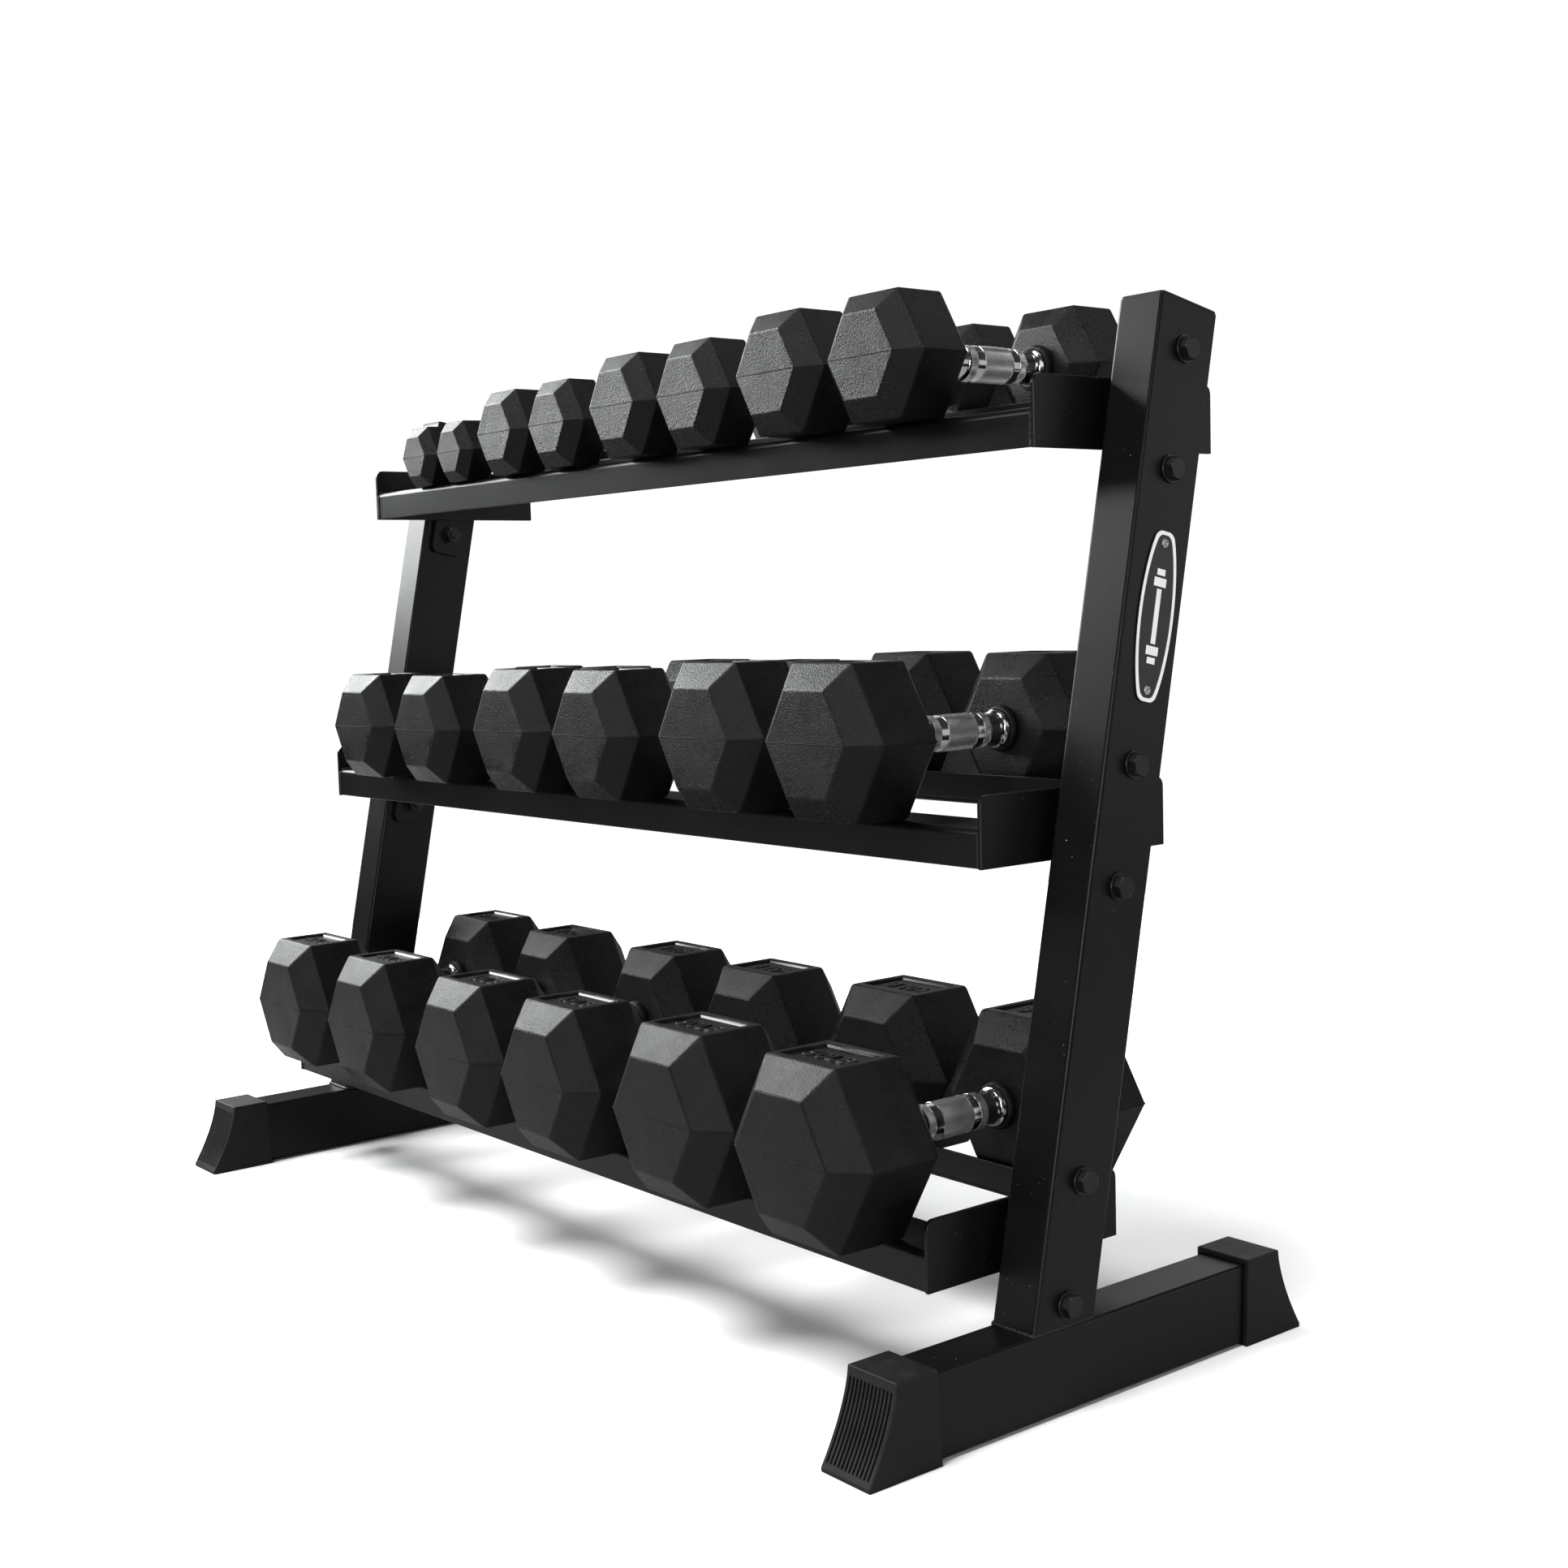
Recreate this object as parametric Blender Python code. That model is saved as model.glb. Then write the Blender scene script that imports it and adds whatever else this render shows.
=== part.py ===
"""Three-tier dumbbell rack loaded with ten pairs of hexagonal dumbbells.

Units are metres, +Z is up, +X points to the right-hand end of the rack and +Y to its rear.
The origin is on the floor, midway along the rack and midway between its foot caps.
"""

import math

import bmesh
import bpy
from mathutils import Matrix, Vector

MM = 0.001
GAP = 0.3 * MM

# Steel tube of the end frames
TUBE_WIDTH = 46 * MM
TUBE_DEPTH = 68 * MM
TUBE_WALL = 2.5 * MM
TUBE_CORNER = 3.5 * MM
FRAME_OUTER_X = 597.3 * MM
FRAME_X = FRAME_OUTER_X - TUBE_WIDTH / 2
BASE_BOTTOM = 2 * MM
BASE_TOP = BASE_BOTTOM + TUBE_DEPTH

# Leaning uprights
LEAN = math.radians(11.67)
UPRIGHT_FOOT_Y = -40.4 * MM
UPRIGHT_LENGTH = 815.0 * MM
PLUG_PLATE = 2.6 * MM
PLUG_SPIGOT = 14 * MM

# Moulded foot caps
CAP_WALL = 4.2 * MM
CAP_TOP_LENGTH = 41 * MM
CAP_BOTTOM_LENGTH = 44 * MM
CAP_FLARE = 28.5 * MM
CAP_TOP = BASE_TOP + CAP_WALL + GAP
CAP_WIDTH = TUBE_WIDTH + 2 * (CAP_WALL + GAP)
CAP_EDGE_Y = 221 * MM

# Shelves, by tier: height of the end plate's lower edge, and y of the shelf's middle
TIERS = {
    "bottom": (106 * MM, -28.5 * MM),
    "middle": (428.5 * MM, 37.5 * MM),
    "top": (756 * MM, 104.5 * MM),
}
SHELF_DEPTH = 215 * MM
PLATE_HEIGHT = 58 * MM
PLATE_THICK = 4 * MM
PLATE_CORNER = 8 * MM
PLATE_OUTER_X = 545.3 * MM
RAIL_FLANGE = 57 * MM
RAIL_STEEL = 3 * MM
RAIL_BEND = 6 * MM
SUPPORT_HEIGHT = 32 * MM
LIP_TOP = 56.5 * MM
LIP_Y = 59.6 * MM

# Mounting plates and bolts
MOUNT_WIDTH = 45 * MM
MOUNT_LENGTH = 145 * MM
MOUNT_THICK = 5.2 * MM
MOUNT_CORNER = 8 * MM
BOLT_SPACING = 97 * MM
BOLT_RADIUS = 5 * MM
BOLT_HOLE_RADIUS = 5.5 * MM
BOLT_FLATS = 17 * MM
BOLT_HEAD = 6.5 * MM
NUT_HEIGHT = 8 * MM
WASHER_RADIUS = 10.5 * MM
WASHER_THICK = 2 * MM

# Dumbbells: pounds -> (head across flats, length of the head's straight part)
DUMBBELLS = {
    5: (66.5 * MM, 27.5 * MM),
    10: (88.5 * MM, 31 * MM),
    15: (98.5 * MM, 40 * MM),
    20: (106 * MM, 47.5 * MM),
    25: (114.5 * MM, 52.5 * MM),
    30: (122.5 * MM, 54.5 * MM),
    35: (130.3 * MM, 56 * MM),
    40: (137.5 * MM, 58.5 * MM),
    45: (140.5 * MM, 61.5 * MM),
    50: (147 * MM, 65.3 * MM),
}
GRIP = 126.7 * MM
END_FACE_RATIO = 0.67
CHAMFER_RATIO = 0.16
COLLAR_RADIUS = 17.5 * MM
HANDLE_SEGMENTS = 12
LIGHTEST = 5
LIGHTEST_COLLAR_RADIUS = 12.9 * MM
LIGHTEST_TILT = math.radians(1.75)
INNER_FACE_Y = LIP_Y - RAIL_STEEL - 2.8 * MM

# Tier -> (pounds, x of the dumbbell's axis), from left to right
LOAD = {
    "top": [
        (5, -423.2 * MM),
        (5, -343.6 * MM),
        (10, -227.0 * MM),
        (10, -122.8 * MM),
        (15, 14.6 * MM),
        (15, 129.5 * MM),
        (20, 268.2 * MM),
        (20, 394.0 * MM),
    ],
    "middle": [
        (25, -393.2 * MM),
        (25, -251.9 * MM),
        (30, -74.3 * MM),
        (30, 73.7 * MM),
        (35, 257.4 * MM),
        (35, 409.4 * MM),
    ],
    "bottom": [
        (40, -447.7 * MM),
        (40, -274.4 * MM),
        (45, -71.9 * MM),
        (45, 93.3 * MM),
        (50, 291.6 * MM),
        (50, 463.0 * MM),
    ],
}


def clear_scene():
    for obj in list(bpy.data.objects):
        bpy.data.objects.remove(obj, do_unlink=True)


def make_material(name, colour, metallic, roughness):
    material = bpy.data.materials.new(name)
    material.use_nodes = True
    shader = material.node_tree.nodes["Principled BSDF"]
    shader.inputs["Base Color"].default_value = (*colour, 1)
    shader.inputs["Metallic"].default_value = metallic
    shader.inputs["Roughness"].default_value = roughness
    material.diffuse_color = (*colour, 1)
    return material


def mesh_from(name, points, faces):
    """A mesh whose faces are turned to point outwards."""
    form = bmesh.new()
    made = [form.verts.new(point) for point in points]
    for face in faces:
        form.faces.new([made[i] for i in face])
    bmesh.ops.recalc_face_normals(form, faces=form.faces)
    mesh = bpy.data.meshes.new(name)
    form.to_mesh(mesh)
    form.free()
    return mesh


def add_object(name, mesh, material, parent=None, location=(0, 0, 0)):
    obj = bpy.data.objects.new(name, mesh)
    bpy.context.scene.collection.objects.link(obj)
    obj.location = location
    obj.parent = parent
    if mesh is not None and not mesh.materials:
        mesh.materials.append(material)
    return obj


def shade_round_faces(mesh, angle_limit):
    """Smooth shading, with edges sharper than the limit kept crisp."""
    mesh.shade_smooth()
    mesh.set_sharp_from_angle(angle=angle_limit)


def arc(centre, radius, start, end, steps):
    """Points on an arc in the plane of an outline, angles in degrees."""
    points = []
    for i in range(steps + 1):
        angle = math.radians(start + (end - start) * i / steps)
        u = centre[0] + radius * math.cos(angle)
        v = centre[1] + radius * math.sin(angle)
        points.append((u, v))
    return points


def rounded_rectangle(width, height, radius, steps):
    """Outline centred on the origin, counter-clockwise."""
    u = width / 2 - radius
    v = height / 2 - radius
    outline = arc((u, v), radius, 0, 90, steps)
    outline += arc((-u, v), radius, 90, 180, steps)
    outline += arc((-u, -v), radius, 180, 270, steps)
    outline += arc((u, -v), radius, 270, 360, steps)
    return outline


def extrude_outline(name, outline, x_start, x_end):
    """A prism along X from an outline of (y, z) points."""
    count = len(outline)
    points = [(x_start, y, z) for y, z in outline]
    points += [(x_end, y, z) for y, z in outline]
    faces = [list(range(count)), list(range(count, 2 * count))]
    for i in range(count):
        j = (i + 1) % count
        faces.append([i, j, count + j, count + i])
    return mesh_from(name, points, faces)


def hollow_prism(name, outer, inner, bottom, top):
    """A tube along Z. bottom and top give z for a point (x, y) of an outline."""
    count = len(outer)
    points = []
    for outline in (outer, inner):
        for end in (bottom, top):
            points += [(x, y, end(x, y)) for x, y in outline]
    outer_low, outer_high, inner_low, inner_high = (k * count for k in range(4))
    faces = []
    for i in range(count):
        j = (i + 1) % count
        faces.append([outer_low + i, outer_low + j, outer_high + j, outer_high + i])
        faces.append([inner_low + i, inner_low + j, inner_high + j, inner_high + i])
        faces.append([outer_low + i, outer_low + j, inner_low + j, inner_low + i])
        faces.append([outer_high + i, outer_high + j, inner_high + j, inner_high + i])
    return mesh_from(name, points, faces)


def ring(kind, radius, along):
    """A hexagonal or a round ring. A hexagon's radius is to its corners."""
    count = 6 if kind == "hex" else HANDLE_SEGMENTS
    points = []
    for i in range(count):
        angle = 2 * math.pi * i / count
        points.append((radius * math.cos(angle), along, radius * math.sin(angle)))
    return points


def stack_rings(name, sections):
    """A closed body along Y through sections of (kind, radius, y)."""
    points = []
    starts = []
    for kind, radius, along in sections:
        starts.append(len(points))
        points += ring(kind, radius, along)
    counts = [6 if section[0] == "hex" else HANDLE_SEGMENTS for section in sections]
    faces = [[starts[0] + i for i in range(counts[0])]]
    faces.append([starts[-1] + i for i in range(counts[-1])])
    for a in range(len(sections) - 1):
        b = a + 1
        if counts[a] == counts[b]:
            for i in range(counts[a]):
                j = (i + 1) % counts[a]
                faces.append([starts[a] + i, starts[a] + j, starts[b] + j, starts[b] + i])
            continue
        hexagon, circle = (a, b) if counts[a] == 6 else (b, a)
        step = HANDLE_SEGMENTS // 6
        for i in range(6):
            corners = [starts[hexagon] + i, starts[hexagon] + (i + 1) % 6]
            for k in range(step, -1, -1):
                corners.append(starts[circle] + (i * step + k) % HANDLE_SEGMENTS)
            faces.append(corners)
    return mesh_from(name, points, faces)


def cylinder_mesh(name, radius, x_start, x_end, centres, segments=12):
    """Separate cylinders along X at centres of (y, z), in one mesh."""
    form = bmesh.new()
    for y, z in centres:
        middle = Matrix.Translation(Vector(((x_start + x_end) / 2, y, z)))
        turned = middle @ Matrix.Rotation(math.radians(90), 4, "Y")
        bmesh.ops.create_cone(
            form,
            cap_ends=True,
            segments=segments,
            radius1=radius,
            radius2=radius,
            depth=x_end - x_start,
            matrix=turned,
        )
    mesh = bpy.data.meshes.new(name)
    form.to_mesh(mesh)
    form.free()
    return mesh


def cut(obj, cutter, label):
    """Subtracts a helper, which stays in the file as a hidden wire."""
    cutter.hide_render = True
    cutter.display_type = "WIRE"
    modifier = obj.modifiers.new(label, "BOOLEAN")
    modifier.operation = "DIFFERENCE"
    modifier.solver = "EXACT"
    modifier.object = cutter


def round_edges(obj, width, segments, limit=30):
    bevel = obj.modifiers.new("edge rounding", "BEVEL")
    bevel.width = width
    bevel.segments = segments
    bevel.limit_method = "ANGLE"
    bevel.angle_limit = math.radians(limit)
    bevel.harden_normals = False


def make_frame_empty(side_name, side):
    """The leaning axes of one end frame, at the foot of its upright."""
    axes = add_object(f"upright_axes_{side_name}", None, None)
    axes.location = (side * FRAME_X, UPRIGHT_FOOT_Y, BASE_TOP)
    axes.rotation_euler = (-LEAN, 0, 0)
    return axes


def tier_axis_height(tier):
    """Distance along the leaning upright to the middle of a shelf's end plate."""
    return (TIERS[tier][0] + PLATE_HEIGHT / 2 - BASE_TOP) / math.cos(LEAN)


def bolt_heights():
    heights = []
    for tier in TIERS:
        middle = tier_axis_height(tier)
        heights += [middle - BOLT_SPACING / 2, middle + BOLT_SPACING / 2]
    return heights


def build_upright(side_name, axes, steel):
    outer = rounded_rectangle(TUBE_WIDTH, TUBE_DEPTH, TUBE_CORNER, 3)
    bore = TUBE_CORNER - TUBE_WALL
    inside_width = TUBE_WIDTH - 2 * TUBE_WALL
    inside_depth = TUBE_DEPTH - 2 * TUBE_WALL
    inner = rounded_rectangle(inside_width, inside_depth, bore, 3)

    def foot(x, y):
        return y * math.tan(LEAN) + GAP / math.cos(LEAN)

    def head(x, y):
        return UPRIGHT_LENGTH

    mesh = hollow_prism(f"upright_{side_name}", outer, inner, foot, head)
    upright = add_object(f"upright_{side_name}", mesh, steel, axes)
    reach = TUBE_WIDTH
    centres = [(0, height) for height in bolt_heights()]
    holes = cylinder_mesh("bolt holes", BOLT_HOLE_RADIUS, -reach, reach, centres)
    cutter = add_object(f"cutter_bolt_holes_{side_name}", holes, steel, axes)
    cut(upright, cutter, "bolt holes")
    return upright


def build_plug(side_name, axes, plastic):
    """Top plug: a plate over the tube's end, with a spigot inside it."""
    plate = rounded_rectangle(TUBE_WIDTH - MM, TUBE_DEPTH - MM, TUBE_CORNER, 3)
    clearance = 2 * (TUBE_WALL + GAP)
    neck_width = TUBE_WIDTH - clearance
    neck = rounded_rectangle(neck_width, TUBE_DEPTH - clearance, 2 * MM, 3)
    bevel = 0.9 * MM
    rim = rounded_rectangle(TUBE_WIDTH - MM - 2 * bevel, TUBE_DEPTH - MM - 2 * bevel, 3 * MM, 3)
    under = UPRIGHT_LENGTH + GAP
    layers = [
        (neck, UPRIGHT_LENGTH - PLUG_SPIGOT),
        (neck, under),
        (plate, under),
        (plate, under + PLUG_PLATE - bevel),
        (rim, under + PLUG_PLATE),
    ]
    count = len(plate)
    points = []
    for outline, height in layers:
        points += [(x, y, height) for x, y in outline]
    faces = [list(range(count)), list(range(len(points) - count, len(points)))]
    for layer in range(len(layers) - 1):
        low = layer * count
        for i in range(count):
            j = (i + 1) % count
            faces.append([low + i, low + j, low + count + j, low + count + i])
    mesh = mesh_from(f"top_plug_{side_name}", points, faces)
    return add_object(f"top_plug_{side_name}", mesh, plastic, axes)


def build_base_tube(side_name, side, steel):
    """The floor tube. It is built along Z, then turned to lie along Y."""
    outer = rounded_rectangle(TUBE_WIDTH, TUBE_DEPTH, TUBE_CORNER, 3)
    bore = TUBE_CORNER - TUBE_WALL
    inside_width = TUBE_WIDTH - 2 * TUBE_WALL
    inside_depth = TUBE_DEPTH - 2 * TUBE_WALL
    inner = rounded_rectangle(inside_width, inside_depth, bore, 3)
    half = CAP_EDGE_Y - CAP_WALL - GAP
    mesh = hollow_prism(f"base_tube_{side_name}", outer, inner, lambda x, y: -half, lambda x, y: half)
    mesh.transform(Matrix.Rotation(math.radians(-90), 4, "X"))
    height = (BASE_BOTTOM + BASE_TOP) / 2
    return add_object(f"base_tube_{side_name}", mesh, steel, None, (side * FRAME_X, 0, height))


def build_foot_cap(name, side, end, plastic):
    """A sleeve over the tube's end, with a concave flared face. end is -1 at the front."""
    outline = []
    steps = 8
    lip = 3.5 * MM
    for i in range(steps + 1):
        rise = i / steps
        z = lip + (CAP_TOP - lip) * rise
        outline.append((-CAP_FLARE * (1 - rise) ** 1.54, z))
    outline.append((CAP_TOP_LENGTH, CAP_TOP))
    outline.append((CAP_BOTTOM_LENGTH, 0))
    outline.append((-CAP_FLARE, 0))
    mesh = extrude_outline(name, outline, -CAP_WIDTH / 2, CAP_WIDTH / 2)
    if end > 0:
        mesh.transform(Matrix.Rotation(math.radians(180), 4, "Z"))
    cap = add_object(name, mesh, plastic, None, (side * FRAME_X, end * CAP_EDGE_Y, 0))
    half_width = TUBE_WIDTH / 2 + GAP
    low = BASE_BOTTOM - GAP
    high = BASE_TOP + GAP
    start = CAP_WALL
    stop = CAP_BOTTOM_LENGTH + 20 * MM
    box = [(start, low), (stop, low), (stop, high), (start, high)]
    pocket = extrude_outline(f"cutter_{name}", box, -half_width, half_width)
    if end > 0:
        pocket.transform(Matrix.Rotation(math.radians(180), 4, "Z"))
    cutter = add_object(f"cutter_{name}", pocket, plastic, None, cap.location)
    cut(cap, cutter, "tube pocket")
    return cap


def rail_section(front):
    """L section with a rounded bend, as (y, z) from the shelf's front or lip line."""
    steps = 4
    bend = RAIL_BEND
    steel = RAIL_STEEL
    top = SUPPORT_HEIGHT
    if front:
        low = 0.5 * MM
        centre = (bend, top - bend)
        outside = arc(centre, bend, 180, 90, steps)
        inside = arc(centre, bend - steel, 90, 180, steps)
        ends = [(RAIL_FLANGE, top), (RAIL_FLANGE, top - steel)]
        return [(0, low)] + outside + ends + inside + [(steel, low)]
    floor = top - steel
    centre = (bend, floor + bend)
    outside = arc(centre, bend, 180, 270, steps)
    inside = arc(centre, bend - steel, 270, 180, steps)
    ends = [(RAIL_FLANGE, floor), (RAIL_FLANGE, top)]
    return [(0, LIP_TOP)] + outside + ends + inside + [(steel, LIP_TOP)]


def build_shelf(tier, steel):
    low, middle_y = TIERS[tier]
    front_y = middle_y - SHELF_DEPTH / 2
    rear_y = middle_y + SHELF_DEPTH / 2
    shelf = add_object(f"shelf_{tier}_axes", None, None, None, (0, middle_y, low))
    half = PLATE_OUTER_X - PLATE_THICK - GAP
    front = extrude_outline(f"rail_front_{tier}", rail_section(True), -half, half)
    add_object(f"rail_front_{tier}", front, steel, shelf, (0, front_y - middle_y + MM, 0))
    rear = extrude_outline(f"rail_rear_{tier}", rail_section(False), -half, half)
    add_object(f"rail_rear_{tier}", rear, steel, shelf, (0, rear_y - LIP_Y - middle_y, 0))
    half_depth = SHELF_DEPTH / 2
    corner = PLATE_CORNER
    outline = arc((half_depth - corner, PLATE_HEIGHT - corner), corner, 0, 90, 5)
    outline += arc((corner - half_depth, PLATE_HEIGHT - corner), corner, 90, 180, 5)
    outline += [(-half_depth, 0), (half_depth, 0)]
    plates = {"left": -PLATE_OUTER_X, "right": PLATE_OUTER_X - PLATE_THICK}
    for side_name, x_start in plates.items():
        name = f"end_plate_{tier}_{side_name}"
        mesh = extrude_outline(name, outline, x_start, x_start + PLATE_THICK)
        plate = add_object(name, mesh, steel, shelf)
        round_edges(plate, 0.6 * MM, 1)
    return shelf


def build_mount(tier, side_name, side, axes, steel):
    """The upright plate of a shelf, bolted flat against the upright's inner face."""
    outline = rounded_rectangle(MOUNT_WIDTH, MOUNT_LENGTH, MOUNT_CORNER, 5)
    near = TUBE_WIDTH / 2 + GAP
    inner = near if side < 0 else -near - MOUNT_THICK
    name = f"mount_plate_{tier}_{side_name}"
    mesh = extrude_outline(name, outline, inner, inner + MOUNT_THICK)
    height = tier_axis_height(tier)
    plate = add_object(name, mesh, steel, axes, (0, 0, height))
    centres = [(0, -BOLT_SPACING / 2), (0, BOLT_SPACING / 2)]
    reach = 2 * TUBE_WIDTH
    holes = cylinder_mesh("mount holes", BOLT_HOLE_RADIUS, -reach, reach, centres)
    cutter = add_object(f"cutter_{name}", holes, steel, axes, (0, 0, height))
    cut(plate, cutter, "bolt holes")
    return plate


def bolt_mesh(outward):
    """Hex bolt with washers and nut, along X from the head inwards."""
    corner = BOLT_FLATS / math.sqrt(3)
    face = TUBE_WIDTH / 2 + GAP
    back = -TUBE_WIDTH / 2 - GAP - MOUNT_THICK - GAP
    nut = back - WASHER_THICK
    sections = [
        ("hex", corner * 0.9, face + WASHER_THICK + BOLT_HEAD),
        ("hex", corner, face + WASHER_THICK + BOLT_HEAD - 1 * MM),
        ("hex", corner, face + WASHER_THICK),
        ("round", WASHER_RADIUS, face + WASHER_THICK),
        ("round", WASHER_RADIUS, face),
        ("round", BOLT_RADIUS, face),
        ("round", BOLT_RADIUS, back),
        ("round", WASHER_RADIUS, back),
        ("round", WASHER_RADIUS, nut),
        ("hex", corner, nut),
        ("hex", corner, nut - NUT_HEIGHT),
        ("round", BOLT_RADIUS, nut - NUT_HEIGHT),
        ("round", BOLT_RADIUS, nut - NUT_HEIGHT - 4 * MM),
    ]
    mesh = stack_rings("bolt_right" if outward > 0 else "bolt_left", sections)
    quarter = -90 if outward > 0 else 90
    mesh.transform(Matrix.Rotation(math.radians(quarter), 4, "Z"))
    return mesh


def dumbbell_mesh(pounds):
    """Two hexagonal heads and a contoured handle along Y, centred on the grip."""
    flats, straight = DUMBBELLS[pounds]
    corner = flats / math.sqrt(3)
    small = corner * END_FACE_RATIO
    chamfer = flats * CHAMFER_RATIO
    inner = GRIP / 2
    near = inner + chamfer
    far = near + straight
    outer = far + chamfer
    collar = LIGHTEST_COLLAR_RADIUS if pounds == LIGHTEST else COLLAR_RADIUS
    half = [
        ("hex", small, outer),
        ("hex", corner, far),
        ("hex", corner, near),
        ("hex", small, inner),
        ("round", collar, inner),
        ("round", collar, inner - 4 * MM),
        ("round", collar * 0.78, inner - 11 * MM),
        ("round", collar * 0.86, inner - 22 * MM),
    ]
    sections = [(kind, radius, -along) for kind, radius, along in half]
    sections.append(("round", collar * 0.95, 0))
    sections += list(reversed(half))
    return stack_rings(f"dumbbell_{pounds}lb", sections)


def dumbbell_rest(pounds):
    """Height of the grip's centre above the rails, and the tilt about X at rest.

    The lightest pair is too thin for its handle to clear the rear rail's lip. Its handle
    lies on the lip, and its front head stands on the front edge of its lower flat.
    """
    flats, straight = DUMBBELLS[pounds]
    if pounds != LIGHTEST:
        return flats / 2 + GAP, 0
    reach = GRIP / 2 + flats * CHAMFER_RATIO + straight
    tilt = LIGHTEST_TILT
    return flats / 2 * math.cos(tilt) + reach * math.sin(tilt) + GAP, tilt


def main():
    clear_scene()
    steel = make_material("powder-coated steel", (0.018, 0.018, 0.019), 0.2, 0.45)
    plastic = make_material("moulded plastic", (0.02, 0.02, 0.021), 0.0, 0.6)
    zinc = make_material("black fasteners", (0.03, 0.03, 0.032), 0.7, 0.4)
    rubber = make_material("dumbbell rubber", (0.03, 0.03, 0.03), 0.0, 0.7)
    for side_name, side in (("left", -1), ("right", 1)):
        axes = make_frame_empty(side_name, side)
        build_base_tube(side_name, side, steel)
        build_upright(side_name, axes, steel)
        build_plug(side_name, axes, plastic)
        build_foot_cap(f"foot_cap_front_{side_name}", side, -1, plastic)
        build_foot_cap(f"foot_cap_rear_{side_name}", side, 1, plastic)
        bolt = bolt_mesh(side)
        for tier in TIERS:
            build_mount(tier, side_name, side, axes, steel)
            middle = tier_axis_height(tier)
            for label, offset in (("low", -BOLT_SPACING / 2), ("high", BOLT_SPACING / 2)):
                name = f"bolt_{tier}_{side_name}_{label}"
                add_object(name, bolt, zinc, axes, (0, 0, middle + offset))
    meshes = {pounds: dumbbell_mesh(pounds) for pounds in DUMBBELLS}
    for tier, load in LOAD.items():
        build_shelf(tier, steel)
        low, middle_y = TIERS[tier]
        rear_face = middle_y + SHELF_DEPTH / 2 - INNER_FACE_Y
        grip_y = rear_face - GRIP / 2
        seen = {}
        for pounds, x in load:
            seen[pounds] = seen.get(pounds, 0) + 1
            label = "a" if seen[pounds] == 1 else "b"
            rise, tilt = dumbbell_rest(pounds)
            z = low + SUPPORT_HEIGHT + rise
            name = f"dumbbell_{pounds:02d}lb_{label}"
            dumbbell = add_object(name, meshes[pounds], rubber, None, (x, grip_y, z))
            dumbbell.rotation_euler = (tilt, 0, 0)
    for obj in bpy.data.objects:
        if obj.type == "MESH":
            shade_round_faces(obj.data, math.radians(28))


main()
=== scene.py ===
"""Looks for the loaded three-tier dumbbell rack. Units are metres, in the CAD frame."""

import math
import re

import bmesh
import bpy
from mathutils import Matrix, Vector


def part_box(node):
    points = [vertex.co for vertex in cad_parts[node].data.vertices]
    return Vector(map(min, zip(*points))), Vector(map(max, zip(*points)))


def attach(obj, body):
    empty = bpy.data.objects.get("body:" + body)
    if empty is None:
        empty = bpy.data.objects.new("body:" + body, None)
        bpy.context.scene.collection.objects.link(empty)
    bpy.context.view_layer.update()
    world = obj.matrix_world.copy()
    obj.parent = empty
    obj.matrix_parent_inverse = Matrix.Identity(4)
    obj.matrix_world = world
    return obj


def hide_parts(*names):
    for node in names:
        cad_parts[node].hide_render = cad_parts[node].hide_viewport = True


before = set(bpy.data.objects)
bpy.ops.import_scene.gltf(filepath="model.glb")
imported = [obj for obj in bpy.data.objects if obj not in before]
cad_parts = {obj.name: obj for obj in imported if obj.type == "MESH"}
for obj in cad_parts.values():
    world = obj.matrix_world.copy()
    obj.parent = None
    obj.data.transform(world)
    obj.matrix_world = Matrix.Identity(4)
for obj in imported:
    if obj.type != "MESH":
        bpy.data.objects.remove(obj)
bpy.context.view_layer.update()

MM = 0.001
RACK = "rack"

# Clearances between neighbouring surfaces
JOINT_GAP = 0.3 * MM
BOLT_GAP = 0.15 * MM

# Steel tube and sheet, as in the CAD
TUBE_WALL = 2.5 * MM
TUBE_CORNER = 3.5 * MM
RAIL_STEEL = 3 * MM
RAIL_BEND = 6 * MM
SHEET_EDGE = 0.7 * MM
LEAN = math.radians(11.67)
SIDES = {"left": -1, "right": 1}
TIERS = ("bottom", "middle", "top")

# Weld beads: their ripples, and a slower drift in size. SKEW is a direction that no weld runs along
WELD_RIPPLE = 2.4 * MM
RIPPLE_SHARE = 0.22
DRIFT_SHARE = 0.08
DRIFT_RATE = 900
WELD_STEP = WELD_RIPPLE / 4
WELD_SIDES = 8
SKEW = Vector((0.31, 0.52, 0.79))
FOOT_WELD = 1.9 * MM
SHELF_WELD = 1.7 * MM

# Dumbbells
GRIP = 126.7 * MM
CHAMFER_RATIO = 0.16
END_FACE_RATIO = 0.67
PANEL_DEPTH_RATIO = 0.021
LIGHTEST = 5
LIGHTEST_TILT = math.radians(1.75)
LIGHTEST_SLIMMING = 12.9 / 17.5

# Camera
CAMERA_PLACE = (1.6629, -1.1646, 0.6352)
CAMERA_YAW = math.radians(51.41)
CAMERA_PITCH = math.radians(-4.82)
CAMERA_ROLL = math.radians(-1.65)
CAMERA_LENS = 46.37
CAMERA_SENSOR = 36
CAMERA_SHIFT = (0.0060, -0.0028)


# ---------------- materials
# Noise scales are in waves per metre. Ramps and spreads give what a stretch of noise turns into.

# Sockets of the colour mix node, which have the same names for every data type
MIX_AMOUNT, MIX_FIRST, MIX_SECOND = 0, 6, 7
MIX_RESULT = 2

# Painted glow: enamel lighter than this gets a little light of its own, though it is no lamp, without which
# the badge reads grey
PAINTED_GLOW_THRESHOLD = 0.5
PAINTED_ENAMEL_GLOW = 0.38


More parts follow.
